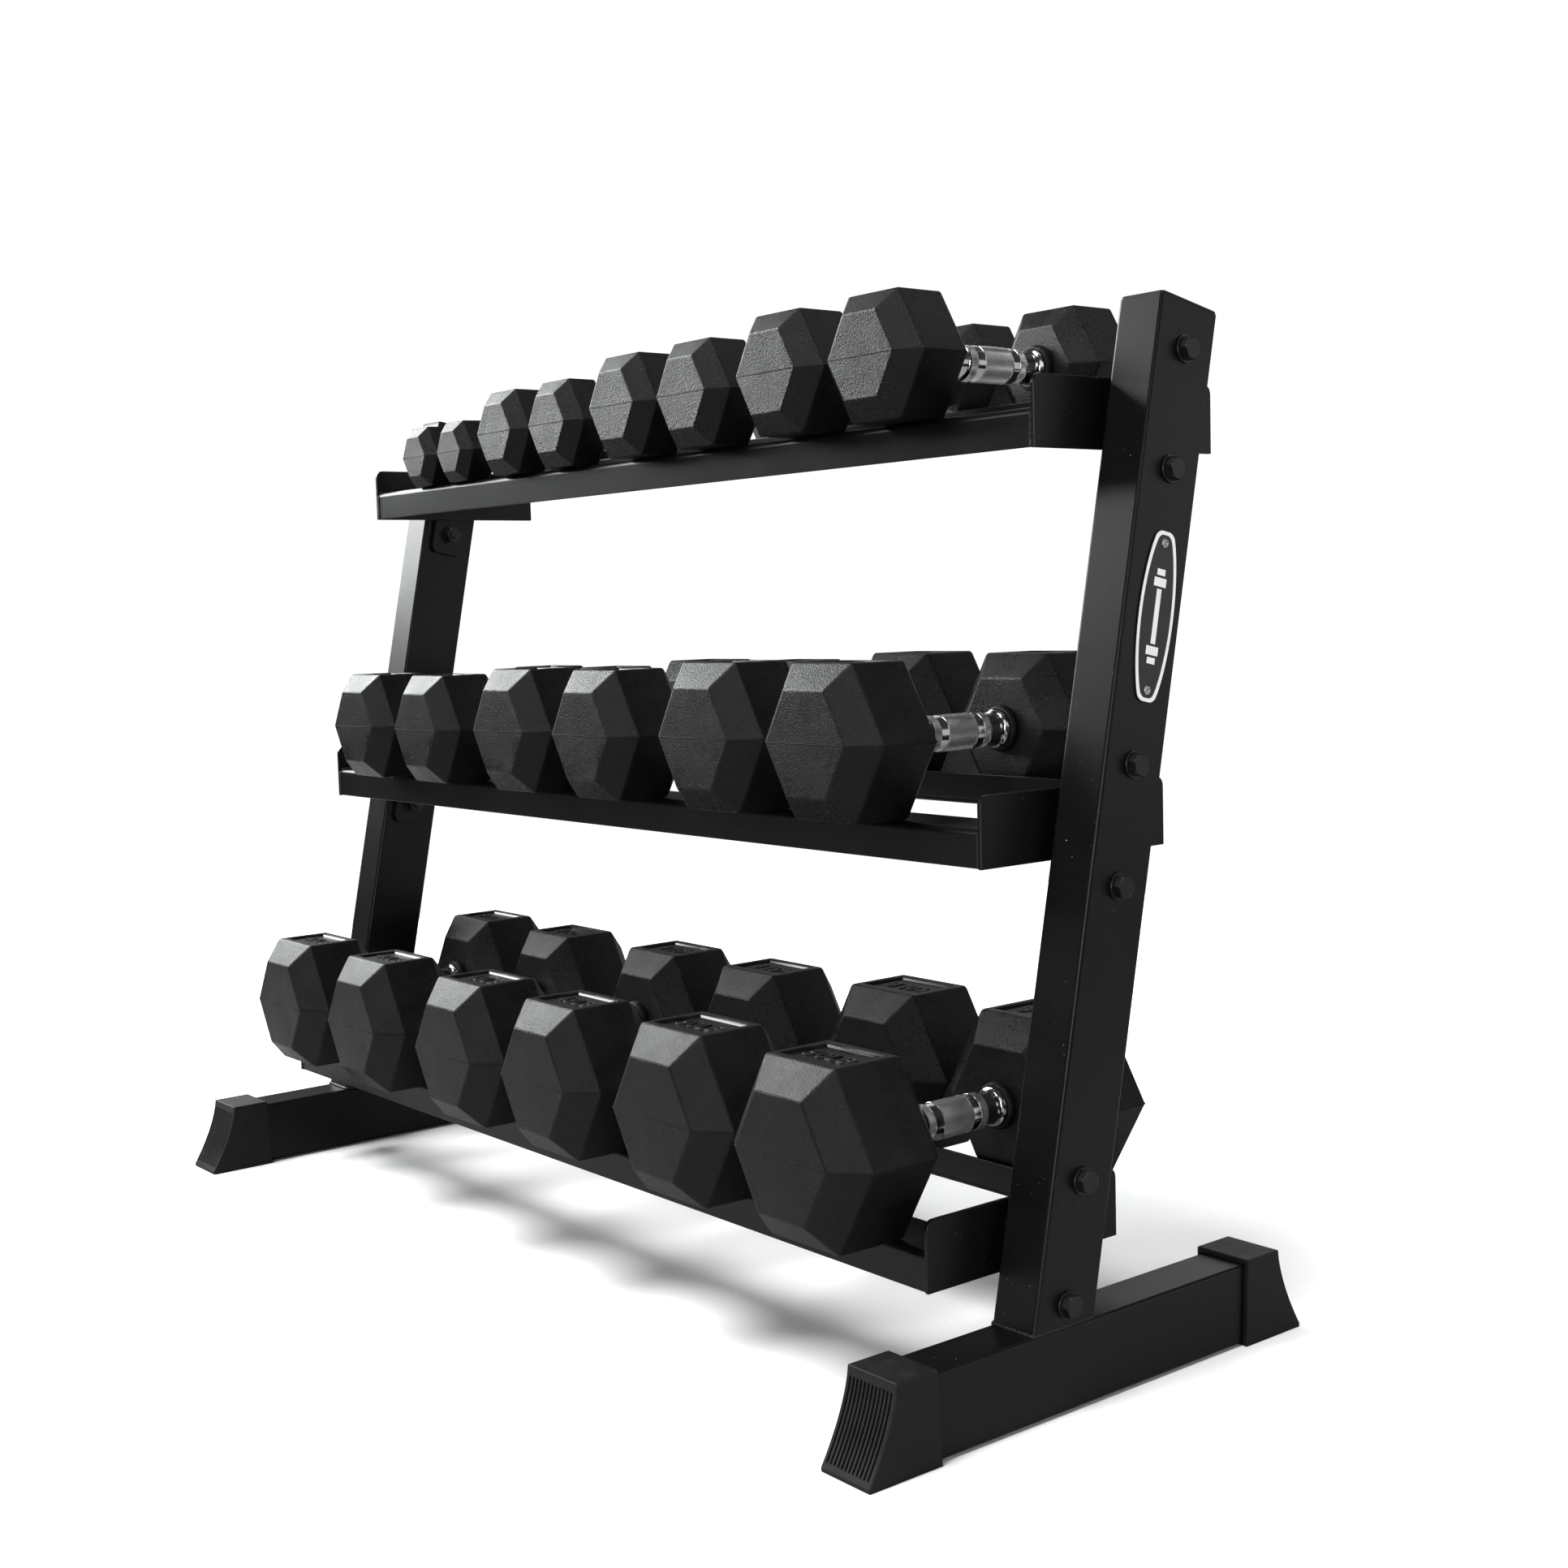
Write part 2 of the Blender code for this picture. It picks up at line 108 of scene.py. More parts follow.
class Nodes:
    """A material's node tree, with short ways to add and join nodes."""

    def __init__(self, name):
        self.material = bpy.data.materials.new(name)
        self.material.use_nodes = True
        self.tree = self.material.node_tree
        self.shader = self.tree.nodes["Principled BSDF"]
        self.place = self.add("ShaderNodeTexCoord").outputs["Object"]

    def add(self, kind, numbers=None, **settings):
        """A node, with plain numbers in its named sockets."""
        node = self.tree.nodes.new(kind)
        for key, value in settings.items():
            setattr(node, key, value)
        for socket, number in (numbers or {}).items():
            node.inputs[socket].default_value = number
        return node

    def join(self, source, target):
        self.tree.links.new(source, target)

    def noise(self, scale, detail=2.0, rough=0.5):
        node = self.add("ShaderNodeTexNoise", {"Scale": scale, "Detail": detail, "Roughness": rough})
        self.join(self.place, node.inputs["Vector"])
        return node.outputs["Fac"]

    def spread(self, value, low, high, to_low, to_high):
        """Maps a stretch of one range onto another, clamped."""
        numbers = {"From Min": low, "From Max": high, "To Min": to_low, "To Max": to_high}
        node = self.add("ShaderNodeMapRange", numbers)
        self.join(value, node.inputs["Value"])
        return node.outputs["Result"]

    def math(self, operation, first, second):
        node = self.add("ShaderNodeMath", operation=operation)
        for i, value in enumerate((first, second)):
            if isinstance(value, (int, float)):
                node.inputs[i].default_value = value
            else:
                self.join(value, node.inputs[i])
        return node.outputs["Value"]

    def ramp(self, value, stops):
        node = self.add("ShaderNodeValToRGB")
        elements = node.color_ramp.elements
        while len(elements) < len(stops):
            elements.new(0.5)
        for element, (position, colour) in zip(elements, stops):
            element.position = position
            element.color = (*colour, 1)
        self.join(value, node.inputs["Fac"])
        return node.outputs["Color"]

    def blend(self, amount, first, second):
        """First colour where amount is 0, second where it is 1; second may be a plain colour."""
        node = self.add("ShaderNodeMix", data_type="RGBA")
        self.join(amount, node.inputs[MIX_AMOUNT])
        self.join(first, node.inputs[MIX_FIRST])
        if isinstance(second, tuple):
            node.inputs[MIX_SECOND].default_value = (*second, 1)
        else:
            self.join(second, node.inputs[MIX_SECOND])
        return node.outputs[MIX_RESULT]

    def bump(self, height, strength, distance):
        node = self.add("ShaderNodeBump", {"Strength": strength, "Distance": distance})
        self.join(height, node.inputs["Height"])
        self.join(node.outputs["Normal"], self.shader.inputs["Normal"])

    def set(self, **values):
        """Plain values for the shader's own sockets."""
        for name, value in values.items():
            self.shader.inputs[name.replace("_", " ")].default_value = value

    def colour(self, source):
        self.join(source, self.shader.inputs["Base Color"])

    def roughness(self, source):
        self.join(source, self.shader.inputs["Roughness"])


def grey(value, tint=(1, 1, 1)):
    """A colour of the given brightness, nearly neutral."""
    return tuple(value * channel for channel in tint)


def powder_coat():
    """Satin black powder coat: fine orange peel, faint flecks and a slight bloom."""
    n = Nodes("powder_coat")
    peel = n.noise(1500, 3, 0.6)
    bloom = n.noise(7, 4, 0.6)
    fleck = n.noise(2600, 1)
    dust = n.spread(n.noise(520, 1), 0.79, 0.82, 0.0, 1.0)
    cloud = n.math("MULTIPLY", n.spread(bloom, 0.3, 0.7, 0.8, 1.2), n.spread(fleck, 0.55, 0.8, 0.5, 1.0))
    shade = n.ramp(cloud, [(0.3, grey(0.002)), (1.0, grey(0.006, (0.97, 1, 1)))])
    n.colour(n.blend(dust, shade, grey(0.22)))
    rough = n.math("ADD", n.spread(bloom, 0.3, 0.7, 0.27, 0.33), n.spread(peel, 0.35, 0.65, 0.0, 0.06))
    n.roughness(rough)
    n.bump(peel, 0.22, 0.25 * MM)
    n.set(Specular_IOR_Level=0.3)
    return n.material


def rubber(name, grain_depth, polish, waves):
    """Matte moulded rubber: mottled, with a fine spark-eroded grain and a dusty bloom.

    polish is taken off its roughness, and waves is how strongly its surface swells under the grain.
    """
    n = Nodes(name)
    grain = n.noise(820, 2, 0.6)
    mottle = n.noise(30, 6, 0.68)
    smudge = n.noise(9, 3, 0.6)
    dust = n.noise(420, 2)
    shade = n.math("ADD", n.spread(mottle, 0.3, 0.7, 0.0, 0.6), n.spread(dust, 0.5, 0.8, 0.0, 0.4))
    stops = [(0.0, grey(0.002)), (1.0, grey(0.009, (1, 1, 0.97)))]
    n.colour(n.ramp(shade, stops))
    worn = n.math("ADD", n.spread(mottle, 0.3, 0.7, 0.26, 0.39), n.spread(smudge, 0.35, 0.65, -0.05, 0.07))
    speckled = n.math("ADD", worn, n.spread(grain, 0.3, 0.7, -0.06, 0.07))
    n.roughness(n.math("SUBTRACT", speckled, polish))
    swell = n.math("MULTIPLY", n.noise(16, 1), waves)
    n.bump(n.math("ADD", grain, swell), 0.6, grain_depth)
    n.set(Specular_IOR_Level=0.27)
    return n.material


def moulded_plastic():
    """Black injection-moulded plastic with a faint leather grain."""
    n = Nodes("moulded_plastic")
    grain = n.noise(900, 2, 0.5)
    wear = n.noise(45, 5, 0.7)
    n.colour(n.ramp(wear, [(0.35, grey(0.006)), (0.75, grey(0.013))]))
    n.roughness(n.spread(wear, 0.3, 0.75, 0.42, 0.58))
    n.bump(grain, 0.25, 0.2 * MM)
    n.set(Specular_IOR_Level=0.3)
    return n.material


def black_steel():
    """Blackened fasteners: smoother than the powder coat, with handling marks."""
    n = Nodes("black_fasteners")
    marks = n.noise(160, 5, 0.7)
    n.colour(n.ramp(marks, [(0.4, grey(0.006)), (0.75, grey(0.016))]))
    n.roughness(n.spread(marks, 0.3, 0.7, 0.26, 0.42))
    n.bump(marks, 0.15, 0.2 * MM)
    n.set(Specular_IOR_Level=0.4)
    return n.material


def chrome(name, rough_low, rough_high, brightness):
    """Plated handle steel: light hazing along the grip."""
    n = Nodes(name)
    haze = n.noise(70, 4, 0.6)
    fine = n.noise(1400, 2)
    stops = [(0.3, grey(brightness * 0.86)), (0.7, grey(brightness, (1, 1, 1.01)))]
    n.colour(n.ramp(haze, stops))
    n.roughness(n.spread(haze, 0.3, 0.7, rough_low, rough_high))
    n.bump(fine, 0.05, 0.05 * MM)
    n.set(Metallic=1.0)
    return n.material


def weld_metal():
    """Weld bead under powder coat: glossier, with spatter."""
    n = Nodes("painted_weld")
    lumps = n.noise(700, 3)
    n.colour(n.ramp(lumps, [(0.4, grey(0.007)), (0.8, grey(0.03))]))
    n.roughness(n.spread(lumps, 0.3, 0.7, 0.28, 0.48))
    n.bump(lumps, 0.4, 0.4 * MM)
    n.set(Specular_IOR_Level=0.35)
    return n.material


def enamel(name, value, rough):
    """Enamel of the badge, with a slight haze; light enamel also gets a painted glow."""
    n = Nodes(name)
    haze = n.noise(90, 4)
    shade = n.ramp(haze, [(0.3, grey(value * 0.9)), (0.7, grey(value))])
    n.colour(shade)
    n.roughness(n.spread(haze, 0.3, 0.7, rough, rough + 0.1))
    # Painted glow: light enamel emits its own colour, standing in for light the badge does not get
    if value > PAINTED_GLOW_THRESHOLD:
        n.join(shade, n.shader.inputs["Emission Color"])
        n.set(Emission_Strength=PAINTED_ENAMEL_GLOW)
    return n.material


def floor_paper():
    """White studio paper, which throws back less light on the object than it shows."""
    n = Nodes("studio_paper")
    fibre = n.noise(300, 3)
    seen = n.ramp(fibre, [(0.3, grey(0.92)), (0.7, grey(0.95))])
    thrown = n.ramp(fibre, [(0.3, grey(0.23)), (0.7, grey(0.25))])
    direct = n.add("ShaderNodeLightPath").outputs["Is Camera Ray"]
    n.colour(n.blend(direct, thrown, seen))
    n.set(Roughness=0.8, Specular_IOR_Level=0.2)
    return n.material


STEEL = powder_coat()
RUBBER = rubber("moulded_rubber", 1.15 * MM, 0.0, 3.0)
SMOOTH_RUBBER = rubber("smooth_rubber", 0.05 * MM, 0.24, 0.0)
SEAM_RUBBER = rubber("seam_rubber", 0.3 * MM, -0.35, 0.0)
PLASTIC = moulded_plastic()
FASTENER = black_steel()
CHROME = chrome("polished_chrome", 0.1, 0.18, 0.6)
KNURL = chrome("knurled_chrome", 0.27, 0.35, 0.8)
WELD = weld_metal()
BADGE_BLACK = enamel("badge_black", 0.012, 0.2)
# White enamel of the badge, with a painted glow
BADGE_WHITE_PAINTED_GLOW = enamel("badge_white_painted_glow", 0.9, 0.4)
RIVET = chrome("rivet_steel", 0.25, 0.4, 0.6)


# ---------------- mesh tools

def mesh_of(name, points, faces, materials=(), face_materials=None, weighted=(), sharp=None):
    """A mesh with its faces turned outwards.

    weighted lists edges, as point pairs, with bevel weights. Edges that turn more than sharp
    degrees are shaded sharp.
    """
    form = bmesh.new()
    made = [form.verts.new(point) for point in points]
    for i, face in enumerate(faces):
        polygon = form.faces.new([made[k] for k in face])
        polygon.smooth = True
        if face_materials:
            polygon.material_index = face_materials[i]
    bmesh.ops.recalc_face_normals(form, faces=form.faces)
    if weighted:
        layer = form.edges.layers.float.new("bevel_weight_edge")
        for a, b, weight in weighted:
            edge = form.edges.get((made[a], made[b]))
            edge[layer] = weight
    mesh = bpy.data.meshes.new(name)
    form.to_mesh(mesh)
    form.free()
    for material in materials:
        mesh.materials.append(material)
    if sharp:
        mesh.set_sharp_from_angle(angle=math.radians(sharp))
    return mesh


def add_object(name, data):
    """A new object in the scene."""
    obj = bpy.data.objects.new(name, data)
    bpy.context.scene.collection.objects.link(obj)
    return obj


def place(name, mesh, body, matrix=Matrix.Identity(4), stands_for=()):
    """A piece of the object, on its CAD body."""
    obj = add_object(name, mesh)
    obj.matrix_world = matrix
    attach(obj, body)
    if stands_for:
        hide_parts(*stands_for)
    return obj


def round_weighted_edges(obj, width, segments):
    bevel = obj.modifiers.new("edge rounding", "BEVEL")
    bevel.width = width
    bevel.segments = segments
    bevel.limit_method = "WEIGHT"
    keep_flats_flat(obj)


def keep_flats_flat(obj):
    normals = obj.modifiers.new("even shading", "WEIGHTED_NORMAL")
    normals.weight = 100
    normals.keep_sharp = True


def arc(centre, radius, start, end, steps):
    """Points of (u, v) on an arc, angles in degrees."""
    points = []
    for i in range(steps + 1):
        angle = math.radians(start + (end - start) * i / steps)
        points.append((centre[0] + radius * math.cos(angle), centre[1] + radius * math.sin(angle)))
    return points


def band(first, second, count):
    """Quads between two rings of points, given the index at which each ring starts."""
    quads = []
    for i in range(count):
        j = (i + 1) % count
        quads.append([first + i, first + j, second + j, second + i])
    return quads


def rounded_rectangle(width, height, radius, steps):
    u, v = width / 2 - radius, height / 2 - radius
    outline = []
    for i, (a, b) in enumerate(((u, v), (-u, v), (-u, -v), (u, -v))):
        outline += arc((a, b), radius, 90 * i, 90 * i + 90, steps)
    return outline


def loft(name, rings, materials, closed_ends=True, sharp=None):
    """Skins a list of rings, each with the same number of points."""
    count = len(rings[0])
    points = [point for ring in rings for point in ring]
    faces = []
    for r in range(len(rings) - 1):
        faces += band(r * count, (r + 1) * count, count)
    if closed_ends:
        faces.append(list(range(count)))
        faces.append(list(range((len(rings) - 1) * count, len(rings) * count)))
    return mesh_of(name, points, faces, materials, sharp=sharp)


def circle(count):
    """Cosine and sine at equal steps round a circle."""
    turns = [2 * math.pi * i / count for i in range(count)]
    return [(math.cos(turn), math.sin(turn)) for turn in turns]


def lathe_rings(profile, segments, axis="X"):
    """Rings for loft, from (along, radius) points."""
    rings = []
    for along, radius in profile:
        ring = [(radius * c, radius * s) for c, s in circle(segments)]
        rings.append([(along, a, b) if axis == "X" else (a, along, b) for a, b in ring])
    return rings


def weld_bead(name, path, radius, phase=0.0):
    """A rippled bead along a polyline of Vectors."""
    rings = []
    travelled = phase
    for start, end in zip(path, path[1:]):
        along = (end - start).normalized()
        side = along.cross(SKEW).normalized()
        other = along.cross(side)
        count = max(2, round((end - start).length / WELD_STEP))
        for k in range(count):
            centre = start.lerp(end, k / count)
            wave = abs(math.sin(math.pi * travelled / WELD_RIPPLE))
            drift = DRIFT_SHARE * math.sin(travelled * DRIFT_RATE)
            size = radius * (1 - RIPPLE_SHARE + RIPPLE_SHARE * wave + drift)
            rings.append([tuple(centre + size * (c * side + s * other)) for c, s in circle(WELD_SIDES)])
            travelled += (end - start).length / count
    place(name, loft(name, rings, [WELD]), RACK)


# ---------------- frames and shelves

def tube_mesh(name, width, depth, bottom, top, steps=6):
    """Hollow tube along Z; bottom and top give z at (x, y)."""
    outer = rounded_rectangle(width, depth, TUBE_CORNER, steps)
    inner = rounded_rectangle(width - 2 * TUBE_WALL, depth - 2 * TUBE_WALL, TUBE_CORNER - TUBE_WALL, steps)
    points = []
    for outline, ends in ((outer, (bottom, top)), (inner, (top, bottom))):
        for end in ends:
            points += [(x, y, end(x, y)) for x, y in outline]
    count = len(outer)
    faces = []
    for r in range(4):
        faces += band(r * count, (r + 1) % 4 * count, count)
    return mesh_of(name, points, faces, [STEEL], sharp=40)


def build_base_tubes():
    for side in SIDES:
        node = f"base_tube_{side}"
        low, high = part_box(node)
        size, centre = high - low, (high + low) / 2
        half = size.y / 2
        mesh = tube_mesh(node, size.x, size.z, lambda x, y: -half, lambda x, y: half)
        turn = Matrix.Translation(centre) @ Matrix.Rotation(math.radians(-90), 4, "X")
        keep_flats_flat(place(f"floor_tube_{side}", mesh, RACK, turn, [node]))


def upright_axes(side):
    """Matrix of the leaning axes at the upright's foot: X across, Y to the rear, Z along it."""
    low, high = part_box(f"upright_{side}")
    floor_low, floor_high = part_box(f"base_tube_{side}")
    depth = floor_high.z - floor_low.z
    foot_y = low.y + depth / 2 / math.cos(LEAN)
    foot = Vector(((low.x + high.x) / 2, foot_y, floor_high.z))
    return Matrix.Translation(foot) @ Matrix.Rotation(-LEAN, 4, "X")


def slanted_foot(x, y):
    """Lower end of a leaning tube, cut level with the floor."""
    return y * math.tan(LEAN) + JOINT_GAP / math.cos(LEAN)


def weld_foot(side, half_x, half_y):
    """Weld bead round the foot of an upright, on top of the floor tube."""
    centre = upright_axes(side).translation
    corners = [(-1, -1), (1, -1), (1, 1), (-1, 1), (-1, -1)]
    inset, rise = 1.2 * MM, 0.6 * MM
    path = [centre + Vector((a * (half_x - inset), b * half_y, rise)) for a, b in corners]
    weld_bead(f"weld_foot_{side}", path, FOOT_WELD)


def build_uprights():
    for side in SIDES:
        node = f"upright_{side}"
        low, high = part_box(node)
        floor_low, floor_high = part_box(f"base_tube_{side}")
        width, depth = high.x - low.x, floor_high.z - floor_low.z
        length = (high.z - floor_high.z - depth / 2 * math.sin(LEAN)) / math.cos(LEAN)
        mesh = tube_mesh(node, width, depth, slanted_foot, lambda x, y: length)
        keep_flats_flat(place(f"leaning_tube_{side}", mesh, RACK, upright_axes(side), [node]))
        weld_foot(side, width / 2, depth / 2 / math.cos(LEAN))


def rail_outline(front, depth, height):
    """L section as (y, z) from its front line and lower edge, with rounded sheet edges."""
    steel, bend, edge = RAIL_STEEL, RAIL_BEND, SHEET_EDGE
    corners = (
        ((bend, height - bend), bend, 180, 90, 8),
        ((depth - edge, height - edge), edge, 90, 0, 3),
        ((depth - edge, height - steel + edge), edge, 0, -90, 3),
        ((bend, height - bend), bend - steel, 90, 180, 6),
        ((steel - edge, edge), edge, 0, -90, 3),
        ((edge, edge), edge, 270, 180, 3),
    )
    outline = [point for corner in corners for point in arc(*corner)]
    # The rear rail is a front rail upside down
    return outline if front else [(y, height - z) for y, z in outline]


def build_rail(kind, tier):
    node = f"rail_{kind}_{tier}"
    low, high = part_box(node)
    outline = rail_outline(kind == "front", high.y - low.y, high.z - low.z)
    rings = [[(x, low.y + y, low.z + z) for y, z in outline] for x in (low.x, high.x)]
    mesh = loft(node, rings, [STEEL], sharp=50)
    keep_flats_flat(place(f"angle_{kind}_{tier}", mesh, RACK, stands_for=[node]))


def weld_shelf_end(tier, side):
    """Beads where the two rails meet the end plate, along the outside of each L."""
    sign = SIDES[side]
    low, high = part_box(f"rail_front_{tier}")
    rear_low, rear_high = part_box(f"rail_rear_{tier}")
    x = sign * (high.x - 0.2 * MM)
    front = [
        (low.y + 0.4 * MM, low.z + 1 * MM),
        (low.y + 0.4 * MM, high.z - 5 * MM),
        (low.y + 4 * MM, high.z - 0.6 * MM),
        (low.y + 26 * MM, high.z - 0.4 * MM),
    ]
    rear = [
        (rear_low.y, rear_high.z - 2 * MM),
        (rear_low.y, rear_low.z + 6 * MM),
        (rear_low.y + 5 * MM, rear_low.z),
        (rear_low.y + 30 * MM, rear_low.z),
    ]
    for end, path, phase in (("front", front, sign * MM), ("rear", rear, 0.0)):
        weld_bead(f"weld_{end}_{tier}_{side}", [Vector((x, y, z)) for y, z in path], SHELF_WELD, phase)


def build_shelves():
    for tier in TIERS:
        build_rail("front", tier)
        build_rail("rear", tier)
        for side in SIDES:
            weld_shelf_end(tier, side)


# ---------------- foot caps

# Grooves, in shares of their pitch. GROOVED_RISE is the stretch of the face's height they cover
GROOVES = 12
LAST_LAND = 0.45
GROOVE_DEPTH = 3.0 * MM
GROOVE_SHARE = 0.5
GROOVE_DRAFT = 0.25 * MM
GROOVE_BORDER = 3.6 * MM
GROOVED_RISE = (0.055, 0.895)
GROOVE_END = 0.004

# The cap's outline, seen from the side
CAP_FLARE = 28.5 * MM
CAP_LIP = 3.5 * MM
CAP_CURVE = 1.54
CAP_SLANT = 3 * MM
CAP_ROUNDING = 1.4 * MM


def cap_columns(width):
    """x positions over the ribbed face, each with whether it lies on a groove's floor."""
    pitch = (width - 2 * GROOVE_BORDER) / (GROOVES - LAST_LAND)
    wide = pitch * GROOVE_SHARE
    columns = [(-width / 2, False)]
    for k in range(GROOVES):
        left = -width / 2 + GROOVE_BORDER + k * pitch
        columns += [(left, False), (left + GROOVE_DRAFT, True)]
        columns += [(left + wide - GROOVE_DRAFT, True), (left + wide, False)]
    columns.append((width / 2, False))
    return columns


def cap_rows(height, steps=18):
    """(z, y, whether grooves reach it) up the concave face, above its small vertical lip."""
    first, last = GROOVED_RISE
    rows = [(0.0, -CAP_FLARE, False)]
    ends = {first, first + GROOVE_END, last - GROOVE_END, last}
    for rise in sorted({i / steps for i in range(steps + 1)} | ends):
        z = CAP_LIP + (height - CAP_LIP) * rise
        y = -CAP_FLARE * (1 - rise) ** CAP_CURVE
        rows.append((z, y, first < rise < last))
    return rows


def ribbed_face(columns, rows):
    """Points and quads of the ribbed end, row by row from the floor up."""
    points, faces = [], []
    for z, y, grooved in rows:
        points += [(x, y + (GROOVE_DEPTH if deep and grooved else 0), z) for x, deep in columns]
    across = len(columns)
    for r in range(len(rows) - 1):
        for a in range(r * across, (r + 1) * across - 1):
            faces.append([a, a + 1, a + across + 1, a + across])
    return points, faces


def sleeve_points(size, back_top, back_bottom, pocket):
    """Four points each of the back rim, the pocket's mouth and the pocket's end."""
    width, height = size
    half = width / 2
    inner_half, low, high, end = pocket
    rim = ((-half, 0), (half, 0), (half, height), (-half, height))
    mouth = ((-inner_half, low), (inner_half, low), (inner_half, high), (-inner_half, high))
    points = [(x, back_bottom + (back_top - back_bottom) * z / height, z) for x, z in rim + mouth]
    return points + [(x, end, z) for x, z in mouth]


def sleeve_faces(left, right, top, bottom, rim):
    """Walls from the four edges of the ribbed end, then the rim and the pocket."""
    mouth, end = rim + 4, rim + 8
    faces = [left + [rim + 3, rim], right + [rim + 2, rim + 1]]
    faces += [top + [rim + 2, rim + 3], bottom + [rim + 1, rim]]
    for i in range(4):
        j = (i + 1) % 4
        faces.append([rim + i, rim + j, mouth + j, mouth + i])
        faces.append([mouth + i, mouth + j, end + j, end + i])
    faces.append([end + i for i in range(4)])
    return faces


def sleeve_weights(left, right, top, bottom, rim):
    """Edges to round, with the share of the full rounding that each gets."""
    weights = []
    for edge, share in ((left, 0.8), (right, 0.8), (top, 0.5), (bottom, 0.5)):
        weights += [(a, b, share) for a, b in zip(edge, edge[1:])]
    weights += [(left[-1], rim + 3, 1), (right[-1], rim + 2, 1)]
    weights += [(left[0], rim, 0.6), (right[0], rim + 1, 0.6)]
    weights += [(rim + i, rim + (i + 1) % 4, 0.6) for i in range(4)]
    return weights


def foot_cap_mesh(name, size, length, pocket):
    """Sleeve with a ribbed concave end. The flare's top edge is at y = 0 and the tube enters from +Y."""
    columns, rows = cap_columns(size[0]), cap_rows(size[1])
    points, faces = ribbed_face(columns, rows)
    across, rim = len(columns), len(points)
    left = [r * across for r in range(len(rows))]
    right = [r * across + across - 1 for r in range(len(rows))]
    top = [(len(rows) - 1) * across + c for c in range(across)]
    bottom = list(range(across))
    points += sleeve_points(size, length - CAP_SLANT, length, pocket)
    faces += sleeve_faces(left, right, top, bottom, rim)
    weights = sleeve_weights(left, right, top, bottom, rim)
    return mesh_of(name, points, faces, [PLASTIC], weighted=weights, sharp=30)


def build_foot_cap(side, end, sign):
    node = f"foot_cap_{end}_{side}"
    low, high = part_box(node)
    tube_low, tube_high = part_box(f"base_tube_{side}")
    inner_half = (tube_high.x - tube_low.x) / 2 + JOINT_GAP
    edge_y = abs(low.y if sign < 0 else high.y) - CAP_FLARE
    pocket_end = edge_y - max(abs(tube_low.y), abs(tube_high.y)) - JOINT_GAP
    pocket = (inner_half, tube_low.z - JOINT_GAP, tube_high.z + JOINT_GAP, pocket_end)
    mesh = foot_cap_mesh(node, (high.x - low.x, high.z), high.y - low.y - CAP_FLARE, pocket)
    turn = Matrix.Translation(((low.x + high.x) / 2, sign * edge_y, 0))
    if sign > 0:
        turn = turn @ Matrix.Rotation(math.pi, 4, "Z")
    cap = place(f"ribbed_cap_{end}_{side}", mesh, RACK, turn, [node])
    round_weighted_edges(cap, CAP_ROUNDING, 3)


def build_foot_caps():
    for side in SIDES:
        build_foot_cap(side, "front", -1)
        build_foot_cap(side, "rear", 1)


# ---------------- bolts

SPANNER = 17 * MM
WASHER_THICK = 2 * MM
NUT_HEIGHT = 8 * MM
THREAD_LENGTH = 4 * MM
THREAD_RADII = (4.4 * MM, 4.9 * MM)


def hexagon(corner, along):
    """Hexagon at x = along, with two more points on each side to bend it by."""
    points = []
    for i in range(6):
        for part in (0, 1 / 3, 2 / 3):
            a, b = math.radians(60 * i), math.radians(60 * (i + 1))
            y = corner * (math.cos(a) * (1 - part) + math.cos(b) * part)
            z = corner * (math.sin(a) * (1 - part) + math.sin(b) * part)
            points.append((along, y, z))
    return points


def chamfered_hexagon(corner, along, reach):
    """A hexagon's outline cut off by a circle of the given radius."""
    points = []
    for x, y, z in hexagon(corner, along):
        size = math.hypot(y, z)
        keep = min(1, reach / size)
        points.append((x, y * keep, z * keep))
    return points


def washer_mesh():
    inner, outer, bevel = 5.2 * MM, 11.5 * MM, 0.35 * MM
    slim = outer - 0.3 * MM
    profile = [(0, inner), (0, slim), (bevel, outer), (WASHER_THICK - bevel, outer)]
    profile += [(WASHER_THICK, slim), (WASHER_THICK, inner)]
    return loft("washer", lathe_rings(profile, 40), [FASTENER], sharp=24)


def bolt_head_mesh():
    corner, flat = SPANNER / math.sqrt(3), SPANNER / 2
    rings = [
        hexagon(corner, 0),
        hexagon(corner, 5.2 * MM),
        chamfered_hexagon(corner, 6.15 * MM, flat * 1.07),
        chamfered_hexagon(corner, 6.5 * MM, flat * 0.95),
    ]
    return loft("bolt_head", rings, [FASTENER], sharp=24)


def nut_mesh():
    corner, flat, chamfer = SPANNER / math.sqrt(3), SPANNER / 2, 0.8 * MM
    rings = [
        chamfered_hexagon(corner, 0, flat * 1.02),
        hexagon(corner, chamfer),
        hexagon(corner, NUT_HEIGHT - chamfer),
        chamfered_hexagon(corner, NUT_HEIGHT, flat * 1.02),
        chamfered_hexagon(corner, NUT_HEIGHT, flat * 0.62),
    ]
    return loft("nut", rings, [FASTENER], sharp=24)


def thread_mesh():
    root, crest = THREAD_RADII
    profile = [(-1 * MM, root)]
    profile += [(k * 0.5 * MM, crest if k % 2 else root) for k in range(8)]
    profile += [(THREAD_LENGTH, 4.2 * MM)]
    return loft("thread_end", lathe_rings(profile, 24), [FASTENER], sharp=24)


